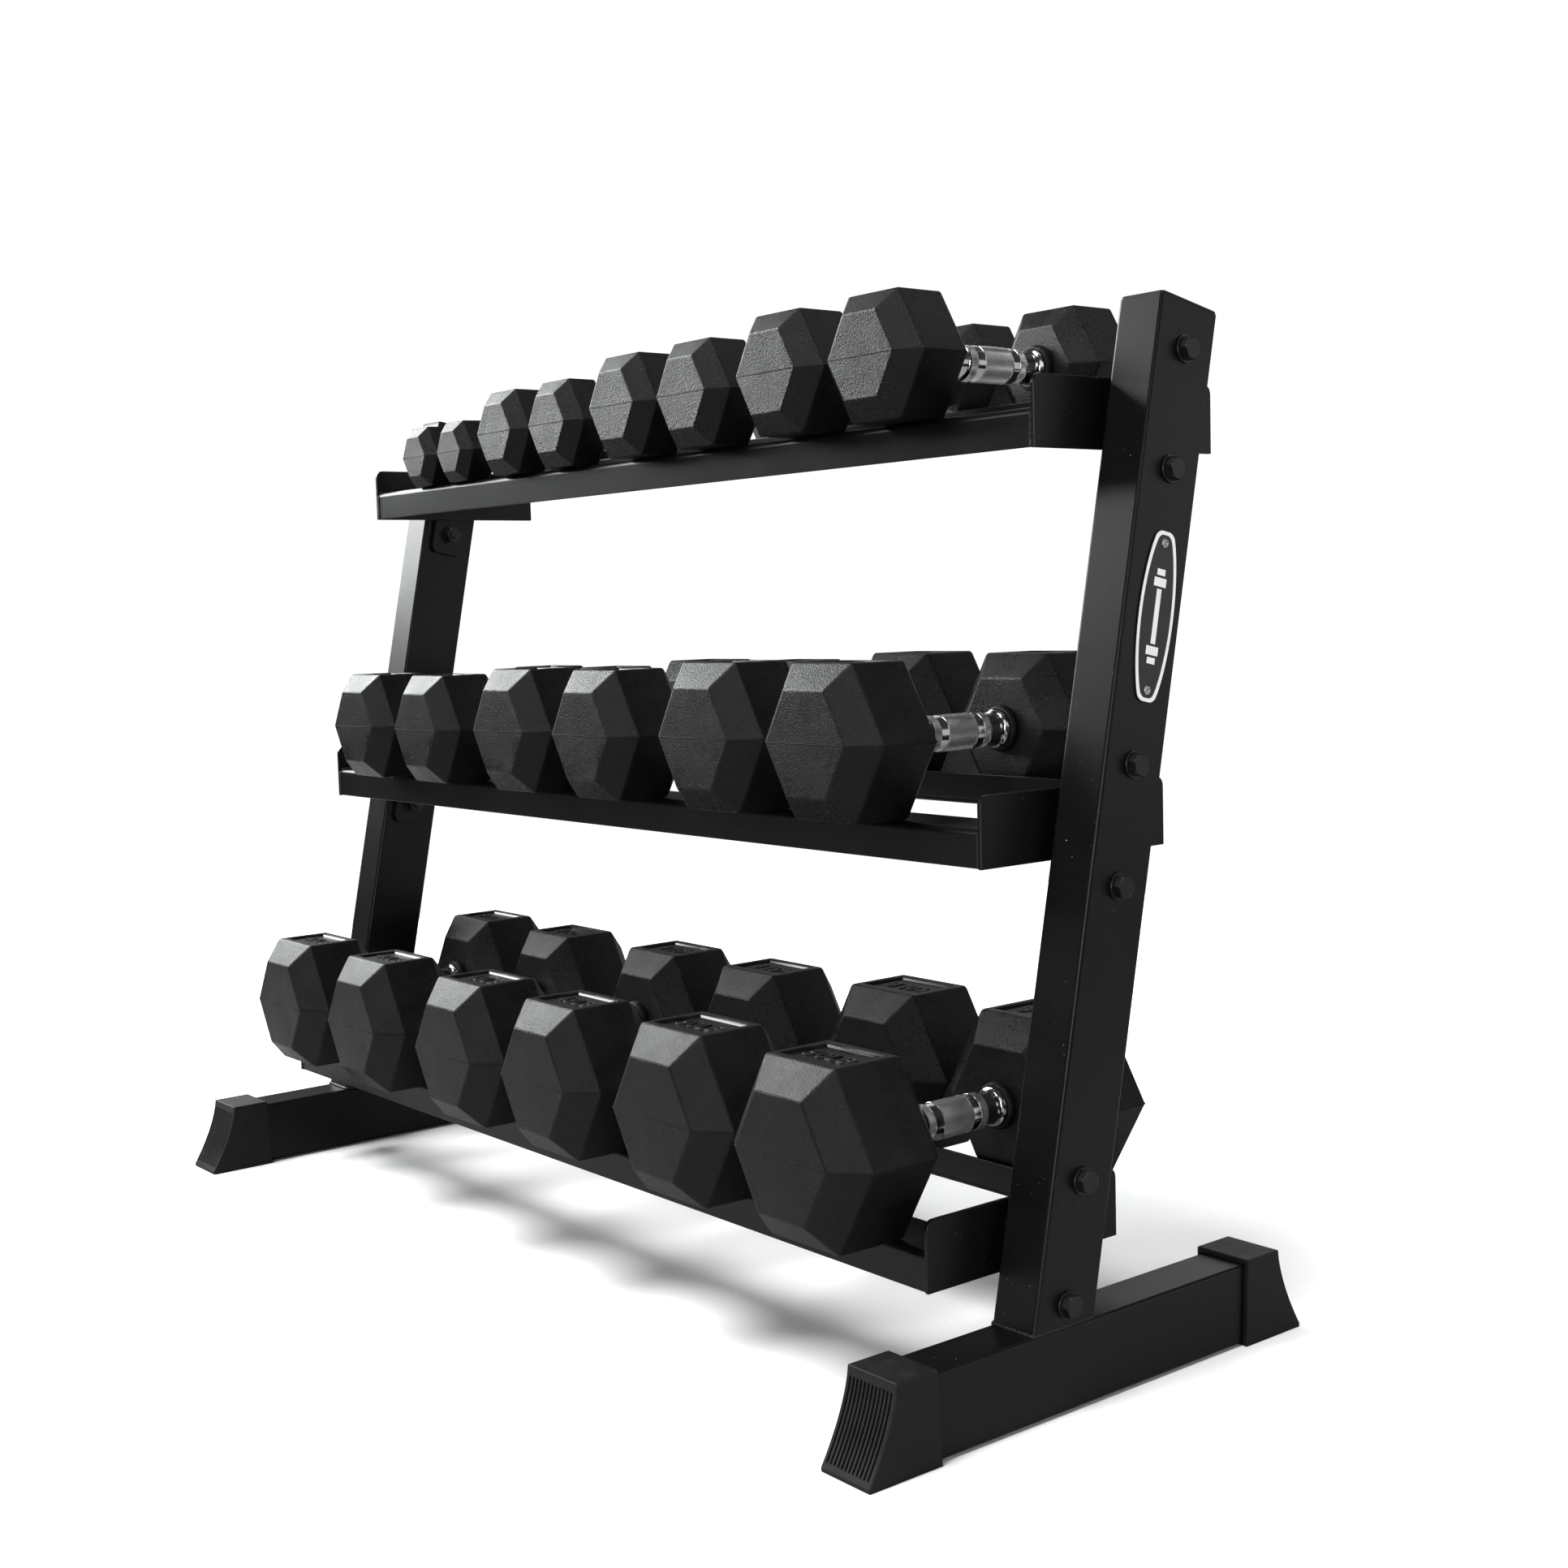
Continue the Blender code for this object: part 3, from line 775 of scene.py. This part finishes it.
def place_bolt(node, tier, side, meshes):
    """Head and washer outside the upright; washer, nut and thread end behind the plate."""
    sign = SIDES[side]
    low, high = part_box(node)
    centre = (low + high) / 2
    tube_low, tube_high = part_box(f"upright_{side}")
    plate_low, plate_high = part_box(f"mount_plate_{tier}_{side}")
    face = BOLT_GAP + (tube_high.x if sign > 0 else -tube_low.x)
    back = (plate_low.x if sign > 0 else -plate_high.x) - BOLT_GAP
    label = node.removeprefix("bolt_")
    lean = Matrix.Rotation(-LEAN, 4, "X")
    outward = Matrix.Rotation(0 if sign > 0 else math.pi, 4, "Z")
    inward = outward @ Matrix.Rotation(math.pi, 4, "Z")
    twist = Matrix.Rotation(math.radians(11 * len(label) % 23 - 9), 4, "X")
    parts = (
        ("bolt_head", "head", face + WASHER_THICK, outward @ twist),
        ("washer_outer", "washer", face, outward),
        ("washer_inner", "washer", back, inward),
        ("nut", "nut", back - WASHER_THICK, inward @ twist),
        ("stud", "thread", back - WASHER_THICK - NUT_HEIGHT, inward),
    )
    for name, kind, x, turn in parts:
        spot = Matrix.Translation((sign * x, centre.y, centre.z)) @ lean @ turn
        stands_for = [node] if name == "bolt_head" else ()
        place(f"{name}_{label}", meshes[kind], RACK, spot, stands_for)


def build_bolts():
    meshes = {"washer": washer_mesh(), "head": bolt_head_mesh(), "nut": nut_mesh(), "thread": thread_mesh()}
    for node in sorted(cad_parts):
        found = re.fullmatch(r"bolt_(bottom|middle|top)_(left|right)_(low|high)", node)
        if found:
            place_bolt(node, found.group(1), found.group(2), meshes)


# ---------------- badge

# Half width at the ends, half width in the middle and half length of each outline, then its curves
BADGE_PLATE = (8.9 * MM, 21.0 * MM, 69.2 * MM)
BADGE_OUTER = (8.3 * MM, 20.4 * MM, 68.5 * MM)
BADGE_INNER = (5.8 * MM, 17.6 * MM, 65.6 * MM)
BADGE_END_ROUNDING = 0.32
BADGE_BULGE_POWER = 1.5
# Place on the upright's outer face, across it and up from its foot
BADGE_PLACE = (2.9 * MM, 563 * MM)
# Heights above that face: the plate's back, its front, where the paint starts and where it ends
BADGE_BACK = 0.05 * MM
BADGE_FACE = 1.1 * MM
BADGE_PAINT = (1.0 * MM, 1.35 * MM)
BADGE_RIVET_REACH = 59 * MM
# Rivets, as (height, radius) in millimetres
BADGE_RIVET = ((0, 3.9), (0.7, 3.7), (1.3, 2.9), (1.5, 1.7), (0.9, 1.3))
# The sign: half width, and from where to where along the badge, in millimetres
SIGN_BAR = (2.6, -22, 22)
SIGN_DISC = (7, 24, 31)
SIGN_CAP = (4.6, 33, 38)


def badge_outline(half_end, half_middle, half_long, steps=36):
    """Closed outline of (across, along): blunt rounded ends and bulging sides."""
    side = []
    for i in range(1, steps):
        angle = math.pi * (i / steps - 0.5)
        turn = math.cos(angle)
        corner = min(1, turn / BADGE_END_ROUNDING) ** 0.5
        bulge = (half_middle - half_end) * turn**BADGE_BULGE_POWER
        side.append((half_end * corner + bulge, half_long * math.sin(angle)))
    return side + [(-across, -along) for across, along in side]


def badge_slab(name, outline, levels, material, axes, inner=None):
    """A thin plate on the badge, or a band where an inner outline is given."""
    count = len(outline)
    points = []
    for contour in (outline, inner) if inner else (outline,):
        for level in levels:
            points += [(level, across, along) for across, along in contour]
    faces = []
    for i in range(count):
        j = (i + 1) % count
        faces.append([i, j, count + j, count + i])
        if inner:
            faces.append([2 * count + i, 2 * count + j, 3 * count + j, 3 * count + i])
            faces.append([i, j, 2 * count + j, 2 * count + i])
            faces.append([count + i, count + j, 3 * count + j, 3 * count + i])
    if not inner:
        faces += [list(range(count)), list(range(count, 2 * count))]
    place(name, mesh_of(name, points, faces, [material], sharp=30), RACK, axes)


def sign_block(half_width, start, end, way=1):
    """Outline of one bar of the sign."""
    corners = ((half_width, start), (half_width, end), (-half_width, end), (-half_width, start))
    return [(across * MM, way * along * MM) for across, along in corners]


def build_badge_sign(axes):
    """A plain dumbbell made of bars, which stands in place of lettering."""
    blocks = {"bar": sign_block(*SIGN_BAR)}
    for label, way in (("up", 1), ("down", -1)):
        blocks[f"disc_{label}"] = sign_block(*SIGN_DISC, way)
        blocks[f"cap_{label}"] = sign_block(*SIGN_CAP, way)
    for label, outline in blocks.items():
        badge_slab(f"badge_sign_{label}", outline, BADGE_PAINT, BADGE_WHITE_PAINTED_GLOW, axes)


def build_badge():
    """Name plate of the right-hand upright."""
    low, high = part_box("upright_right")
    axes = upright_axes("right") @ Matrix.Translation(((high.x - low.x) / 2, *BADGE_PLACE))
    plate, outer, inner = (badge_outline(*size) for size in (BADGE_PLATE, BADGE_OUTER, BADGE_INNER))
    badge_slab("badge_plate", plate, (BADGE_BACK, BADGE_FACE), BADGE_BLACK, axes)
    badge_slab("badge_outline", outer, BADGE_PAINT, BADGE_WHITE_PAINTED_GLOW, axes, inner)
    build_badge_sign(axes)
    rivet = [(height * MM, radius * MM) for height, radius in BADGE_RIVET]
    rivet_mesh = loft("rivet", lathe_rings(rivet, 28), [RIVET])
    for label, way in (("top", 1), ("bottom", -1)):
        spot = axes @ Matrix.Translation((BADGE_FACE, 0, way * BADGE_RIVET_REACH))
        place(f"badge_rivet_{label}", rivet_mesh, RACK, spot)


# ---------------- dumbbells

# Head and its recessed panel, in shares of the width across flats. PANEL_MARGINS are shares of the
# upper flat's half width and of its length, and PANEL_ROUNDING is a share of the head's rounding
HEAD_ROUNDING = 0.0135
PANEL_ROUNDING = 0.2
PANEL_MARGINS = (0.16, 0.12)
PANEL_DRAFT_RATIO = 0.002
PANEL_FILLET_RATIO = 0.012
# The head's quad that is left open for the panel: its ring and side, and its corners in order
PANEL_QUAD = (1, 1)
PANEL_OPENING = (7, 8, 14, 13)

# Parting line: how far it is cut back at the ends, and its section as (outwards, up)
SEAM_TRIM = 1.1 * MM
SEAM_SECTION = ((0.18, 0.36), (0.18, -0.36), (-1.6, -0.5), (-1.6, 0.5))

# Collar round the handle
BOSS_INNER = 16.4 * MM
BOSS_OUTER = 20.5 * MM

# Weight figures: shares of the head's corner radius and of its straight length, then their height
MARK_WIDTH = 0.66
MARK_LENGTH = 0.27
MARK_HEIGHT = 2.2 * MM
MARK_SINK = 0.1 * MM

# Handle, symmetrical about PATTERN_OFFSET: a knurled middle, smooth bands and narrow knurled bands
HANDLE_SEGMENTS = 84
KNURL_PITCH = 1.15 * MM
KNURL_DEPTH = 0.55 * MM
PATTERN_OFFSET = 3 * MM
MAIN_HALF = 17 * MM
SMOOTH_BAND = 8.5 * MM
NARROW_BAND = 8 * MM
BAND_STEP = 0.3 * MM
BAND_DROP = 0.35 * MM
# The knurled parts swell by a cosine: radius, swell and length of its half wave, in millimetres
GRIP_SHAPE = (15.3, 0.9, 76)
# What enters the head: length and radius
HANDLE_SINK = 1.5 * MM
HANDLE_ROOT = 15.6 * MM
# (distance, radius) in millimetres: the neck from the outer knurl, the ferrule from the head
NECK = ((2, 13.2), (0.6, 14.2))
FERRULE = (
    (5.6, 15.6), (6.0, 16.6), (6.6, 17.0), (8.4, 17.0),
    (9.4, 16.5), (10.4, 14.8), (11.8, 13.6), (15, 13.1),
)


def hex_points(corner, along):
    return [(corner * c, along, corner * s) for c, s in circle(6)]


def panel_rims(flats, straight):
    """Three rims of four points: the panel's mouth, the foot of its walls and the edge of its floor."""
    half_x, top, chamfer = flats / math.sqrt(3) / 2, flats / 2, flats * CHAMFER_RATIO
    margin_x, margin_y = PANEL_MARGINS[0] * half_x, PANEL_MARGINS[1] * straight
    depth = PANEL_DEPTH_RATIO * flats
    fillet = PANEL_FILLET_RATIO * flats
    draft = PANEL_DRAFT_RATIO * flats
    points = []
    for inset, down in ((0, 0), (draft, depth - fillet), (draft + fillet, depth)):
        x, z = half_x - margin_x - inset, top - down
        front, rear = chamfer + margin_y + inset, chamfer + straight - margin_y - inset
        points += [(x, front, z), (-x, front, z), (-x, rear, z), (x, rear, z)]
    return points


def head_mesh(name, flats, straight):
    """Hexagonal head along +Y from its inner end face at y = 0, with a recessed panel on its upper flat."""
    corner = flats / math.sqrt(3)
    chamfer = flats * CHAMFER_RATIO
    small = corner * END_FACE_RATIO
    points = hex_points(small, 0) + hex_points(corner, chamfer)
    points += hex_points(corner, chamfer + straight) + hex_points(small, 2 * chamfer + straight)
    faces, weights = [list(range(6)), list(range(18, 24))], []
    for r in range(3):
        for i, quad in enumerate(band(6 * r, 6 * r + 6, 6)):
            if (r, i) != PANEL_QUAD:
                faces.append(quad)
            weights.append((6 * r + i, 6 * r + 6 + i, 1))
    for r in range(4):
        weights += [(6 * r + i, 6 * r + (i + 1) % 6, 1) for i in range(6)]
    mouth = len(points)
    walls = mouth + 4
    points += panel_rims(flats, straight)
    for i in range(4):
        j = (i + 1) % 4
        faces.append([PANEL_OPENING[i], PANEL_OPENING[j], mouth + j, mouth + i])
        for rim in (mouth, walls):
            faces.append([rim + i, rim + j, rim + 4 + j, rim + 4 + i])
        weights.append((mouth + i, mouth + j, PANEL_ROUNDING))
    chosen = [1 if min(face) >= walls else 0 for face in faces] + [0]
    faces.append([walls + 4 + i for i in range(4)])
    mesh = mesh_of(name, points, faces, [RUBBER, SMOOTH_RUBBER], chosen, weights)
    for edge in mesh.edges:
        edge.use_edge_sharp = min(edge.vertices) >= walls
    return mesh


def seam_mesh(name, flats, straight):
    """Mould parting line: a thin band proud of the head's middle, all round its widest outline."""
    corner = flats / math.sqrt(3)
    chamfer = flats * CHAMFER_RATIO
    small = corner * END_FACE_RATIO
    total = 2 * chamfer + straight
    trim = SEAM_TRIM
    path = [
        (small - trim, 0),
        (small, trim * 0.4),
        (corner - trim * 0.35, chamfer - trim * 0.35),
        (corner - 0.2 * MM, chamfer + trim),
    ]
    path += [(x, total - y) for x, y in reversed(path)]
    path += [(-x, y) for x, y in reversed(path)]
    middle = Vector((0, total / 2))
    points, faces = [], []
    for spot in map(Vector, path):
        outward = (spot - middle).normalized()
        for reach, z in SEAM_SECTION:
            edge = spot + outward * reach * MM
            points.append((edge.x, edge.y, z * MM))
    for i in range(len(path)):
        faces += band(4 * i, 4 * ((i + 1) % len(path)), 4)
    return mesh_of(name, points, faces, [SEAM_RUBBER])


def boss_mesh(name, scale):
    """Rubber collar where the handle enters the head, standing on the end face at y = 0."""
    inner, outer = BOSS_INNER * scale, BOSS_OUTER * scale
    profile = [
        (1.5 * MM, inner),
        (-5.4 * MM, inner),
        (-6.2 * MM, inner + 0.8 * MM),
        (-6.2 * MM, outer - 2.2 * MM),
        (-5.5 * MM, outer - 1.2 * MM),
        (-2.5 * MM, outer - 0.3 * MM),
        (1.5 * MM, outer + 0.5 * MM),
    ]
    rings = lathe_rings(profile + [profile[0]], 48, "Y")
    return loft(name, rings, [RUBBER], closed_ends=False)


def grip_radius(y, scale):
    """Radius of the swelling grip, y from its thickest point."""
    radius, swell, half_wave = GRIP_SHAPE
    return (radius + swell * math.cos(math.pi * y / (half_wave * MM))) * MM * scale


def plain_rows(points, scale):
    return [(y, radius * scale, False) for y, radius in points]


def knurled_rows(start, end, scale):
    count = max(2, round((end - start) / KNURL_PITCH))
    rows = []
    for k in range(count + 1):
        y = start + (end - start) * k / count
        rows.append((y, grip_radius(y - PATTERN_OFFSET, scale), 0 < k < count))
    return rows


def smooth_rows(start, end, scale):
    """The turned band between two knurled ones, a little below them."""
    rows = []
    for y, step in ((start, BAND_STEP), (end, -BAND_STEP)):
        rows.append((PATTERN_OFFSET + y + step, grip_radius(y, scale) - BAND_DROP, False))
    return rows


def handle_rows(scale):
    """(y, radius, knurled) for each ring along the handle, from one head to the other."""
    half, p = GRIP / 2, PATTERN_OFFSET
    main, inner = MAIN_HALF, MAIN_HALF + SMOOTH_BAND
    outer = inner + NARROW_BAND
    rows = plain_rows([(-half - HANDLE_SINK, HANDLE_ROOT)], scale)
    rows += plain_rows([(-half + along * MM, radius * MM) for along, radius in FERRULE], scale)
    rows += plain_rows([(p - outer - along * MM, radius * MM) for along, radius in NECK], scale)
    rows += knurled_rows(p - outer, p - inner, scale)
    rows += smooth_rows(-inner, -main, scale)
    rows += knurled_rows(p - main, p + main, scale)
    rows += smooth_rows(main, inner, scale)
    rows += knurled_rows(p + inner, p + outer, scale)
    rows += plain_rows([(p + outer + along * MM, radius * MM) for along, radius in reversed(NECK)], scale)
    rows += plain_rows([(half - along * MM, radius * MM) for along, radius in reversed(FERRULE)], scale)
    rows += plain_rows([(half + HANDLE_SINK, HANDLE_ROOT)], scale)
    return rows


def handle_faces(rows, count):
    """Faces between the rings, split into triangles where they are knurled, and the material of each."""
    faces, chosen = [], []
    for r in range(len(rows) - 1):
        knurled = rows[r][2] or rows[r + 1][2]
        for i, (a, b, c, d) in enumerate(band(r * count, (r + 1) * count, count)):
            if not knurled:
                faces.append([a, b, c, d])
            elif (i + r) % 2:
                faces += [[a, b, c], [a, c, d]]
            else:
                faces += [[a, b, d], [b, c, d]]
            chosen += [1, 1] if knurled else [0]
    faces += [list(range(count)), list(range((len(rows) - 1) * count, len(rows) * count))]
    return faces, chosen + [0, 0]


def handle_mesh(name, scale):
    """Turned handle with diamond knurling: grooves run along both diagonals of a grid of points."""
    rows = handle_rows(scale)
    count = HANDLE_SEGMENTS
    points = []
    for r, (y, radius, knurled) in enumerate(rows):
        for i, (c, s) in enumerate(circle(count)):
            size = radius - KNURL_DEPTH if knurled and (i + r) % 2 else radius
            points.append((size * c, y, size * s))
    faces, chosen = handle_faces(rows, count)
    mesh = mesh_of(name, points, faces, [CHROME, KNURL], chosen, sharp=32)
    for polygon in mesh.polygons:
        polygon.use_smooth = polygon.material_index == 0
    return mesh


def text_mesh(name, text):
    """Solid figures in Blender's own font."""
    curve = bpy.data.curves.new(name, "FONT")
    curve.body = text
    curve.extrude = 0.5
    curve.offset = 0.012
    curve.resolution_u = 3
    holder = add_object(name, curve)
    bpy.context.view_layer.update()
    graph = bpy.context.evaluated_depsgraph_get()
    mesh = bpy.data.meshes.new_from_object(holder.evaluated_get(graph))
    bpy.data.objects.remove(holder)
    bpy.data.curves.remove(curve)
    return mesh


def weight_mark(name, text, wide, tall, thick):
    """Raised weight figures, centred, flat on the XY plane."""
    mesh = text_mesh(name, text)
    spots = [vertex.co for vertex in mesh.vertices]
    low = Vector([min(spot[k] for spot in spots) for k in range(3)])
    high = Vector([max(spot[k] for spot in spots) for k in range(3)])
    size, centre = high - low, (high + low) / 2
    scaling = Matrix.Diagonal((wide / size.x, tall / size.y, thick / size.z, 1))
    mesh.transform(scaling @ Matrix.Translation(-centre))
    form = bmesh.new()
    form.from_mesh(mesh)
    bmesh.ops.remove_doubles(form, verts=form.verts, dist=0.01 * MM)
    bmesh.ops.recalc_face_normals(form, faces=form.faces)
    form.to_mesh(mesh)
    form.free()
    mesh.materials.clear()
    mesh.materials.append(RUBBER)
    mesh.name = name
    return mesh


def dumbbell_kit(pounds, flats, straight):
    """The meshes that both dumbbells of a pair share."""
    label = f"{pounds:02d}lb"
    scale = LIGHTEST_SLIMMING if pounds == LIGHTEST else 1
    corner = flats / math.sqrt(3)
    mark_size = (MARK_WIDTH * corner, MARK_LENGTH * straight, MARK_HEIGHT)
    return {
        "head": head_mesh(f"head_{label}", flats, straight),
        "seam": seam_mesh(f"seam_{label}", flats, straight),
        "boss": boss_mesh(f"boss_{label}", scale),
        "handle": handle_mesh(f"handle_{label}", scale),
        "mark": weight_mark(f"mark_{label}", f"{pounds}LB", *mark_size),
    }


def place_head(kit, node, label, end, spot, flats, straight):
    head = place(f"head_{end}_{label}", kit["head"], node, spot)
    round_weighted_edges(head, HEAD_ROUNDING * flats, 3)
    place(f"seam_{end}_{label}", kit["seam"], node, spot)
    place(f"boss_{end}_{label}", kit["boss"], node, spot)
    middle = flats * CHAMFER_RATIO + straight / 2
    shift = Matrix.Translation((0, middle, flats / 2 - PANEL_DEPTH_RATIO * flats + MARK_SINK))
    facing = spot @ shift @ Matrix.Rotation(math.pi, 4, "Z")
    place(f"mark_{end}_{label}", kit["mark"], node, facing)


def build_dumbbell(node, pounds, kits):
    """One dumbbell in the box of its CAD node; both of a pair share their meshes."""
    low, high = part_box(node)
    size, centre = high - low, (high + low) / 2
    tilt = LIGHTEST_TILT if pounds == LIGHTEST else 0
    flats = size.x * math.sqrt(3) / 2
    total = (size.y - END_FACE_RATIO * flats * math.sin(tilt)) / math.cos(tilt)
    straight = (total - GRIP) / 2 - 2 * flats * CHAMFER_RATIO
    if pounds not in kits:
        kits[pounds] = dumbbell_kit(pounds, flats, straight)
    kit = kits[pounds]
    axes = Matrix.Translation(centre) @ Matrix.Rotation(tilt, 4, "X")
    label = node.removeprefix("dumbbell_")
    place(f"handle_{label}", kit["handle"], node, axes, [node])
    for end, turn in (("rear", 0), ("front", math.pi)):
        spot = axes @ Matrix.Rotation(turn, 4, "Z") @ Matrix.Translation((0, GRIP / 2, 0))
        place_head(kit, node, label, end, spot, flats, straight)


def build_dumbbells():
    kits = {}
    for node in sorted(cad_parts):
        found = re.fullmatch(r"dumbbell_(\d+)lb_[ab]", node)
        if found:
            build_dumbbell(node, int(found.group(1)), kits)


# ---------------- CAD pieces kept as they are

def paint_kept_nodes():
    """End plates, mounting plates and top plugs show their CAD shape."""
    for name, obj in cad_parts.items():
        if obj.hide_render:
            continue
        material = PLASTIC if name.startswith("top_plug") else STEEL
        obj.data.materials.clear()
        obj.data.materials.append(material)


# ---------------- studio

FLOOR_CORNERS = ((-2.15, -1.85, 0), (1.85, -1.85, 0), (1.85, 2.15, 0), (-2.15, 2.15, 0))
# Strength of the surroundings, as they light the object and as the camera sees them
WORLD_LIGHTING = 0.05
WORLD_SEEN = 1.05
# Soft lights: name, place, aim, size and power
MIDDLE = (0, 0, 0.5)
AREA_LIGHTS = (
    ("key", (-2.75, -0.5, 1.88), MIDDLE, (2.1, 1.75), 136),
    ("front_key", (-2.75, -2.6, 2.4), MIDDLE, (1.5, 0.7), 24),
    ("front_fill", (1.6, -2.6, 1.6), (0, 0, 0.4), (1.1, 1.3), 6),
    ("front_strip", (2.4, -2.1, 0.75), (0.5, 0, 0.5), (0.35, 1.2), 18),
    ("rear_fill", (2.6, 2.3, 0.85), MIDDLE, (3.0, 1.5), 9.5),
    ("back_fill", (-2.4, 2.7, 1.5), MIDDLE, (3.6, 2.0), 3),
    ("back_far", (-1.2, 3.2, 1.0), MIDDLE, (1.5, 1.0), 2),
    ("rear_soft", (-1.5, 3.0, 2.4), MIDDLE, (3.0, 1.5), 12),
    ("top_back", (0.9, 1.05, 2.85), (0, 0, 0.8), (0.8, 0.8), 5),
    ("east_fill", (3.2, 0.6, 1.6), MIDDLE, (1.2, 1.2), 8),
)
KEY_COLOUR = (0.97, 1, 1)
# Overhead light: name, power and whether it shows in reflections
CEILING_PLACE = (-0.2, -1.9, 4.0)
CEILING_SPREAD = math.radians(32)
CEILING_LIGHTS = (("ceiling_glow", 1.4, True), ("ceiling", 4.0, False))


def add_light(name, kind, place_at, target, power):
    """A light that faces from one point to another."""
    data = bpy.data.lights.new(name, kind)
    data.energy = power
    light = add_object(name, data)
    light.location = place_at
    aim = Vector(target) - Vector(place_at)
    light.rotation_euler = aim.to_track_quat("-Z", "Y").to_euler()
    return light


def build_lights():
    for name, place_at, target, size, power in AREA_LIGHTS:
        lamp = add_light(name, "AREA", place_at, target, power).data
        lamp.shape = "ELLIPSE" if name == "key" else "RECTANGLE"
        lamp.size, lamp.size_y = size
        if name == "key":
            lamp.color = KEY_COLOUR
    for name, power, in_reflections in CEILING_LIGHTS:
        sun = add_light(name, "SUN", CEILING_PLACE, (0, 0, 0), power)
        sun.data.angle = CEILING_SPREAD
        sun.visible_glossy = in_reflections


def build_world():
    world = bpy.data.worlds.new("studio")
    bpy.context.scene.world = world
    world.use_nodes = True
    nodes, links = world.node_tree.nodes, world.node_tree.links
    background = nodes["Background"]
    background.inputs["Color"].default_value = (1, 1, 1, 1)
    ray = nodes.new("ShaderNodeLightPath")
    strength = nodes.new("ShaderNodeMapRange")
    strength.inputs["To Min"].default_value = WORLD_LIGHTING
    strength.inputs["To Max"].default_value = WORLD_SEEN
    links.new(ray.outputs["Is Camera Ray"], strength.inputs["Value"])
    links.new(strength.outputs["Result"], background.inputs["Strength"])


def build_studio():
    mesh = mesh_of("studio_floor", FLOOR_CORNERS, [[0, 1, 2, 3]], [floor_paper()])
    floor = add_object("studio_floor", mesh)
    build_world()
    build_lights()
    bpy.context.scene.view_settings.view_transform = "Standard"


def build_camera():
    data = bpy.data.cameras.new("camera")
    data.lens = CAMERA_LENS
    data.sensor_width = CAMERA_SENSOR
    data.shift_x, data.shift_y = CAMERA_SHIFT
    camera = add_object("camera", data)
    yaw = Matrix.Rotation(CAMERA_YAW, 4, "Z")
    pitch = Matrix.Rotation(math.pi / 2 + CAMERA_PITCH, 4, "X")
    roll = Matrix.Rotation(CAMERA_ROLL, 4, "Z")
    camera.matrix_world = Matrix.Translation(CAMERA_PLACE) @ yaw @ pitch @ roll
    bpy.context.scene.camera = camera


build_camera()
build_base_tubes()
build_uprights()
build_shelves()
build_foot_caps()
build_bolts()
build_badge()
build_dumbbells()
paint_kept_nodes()
build_studio()
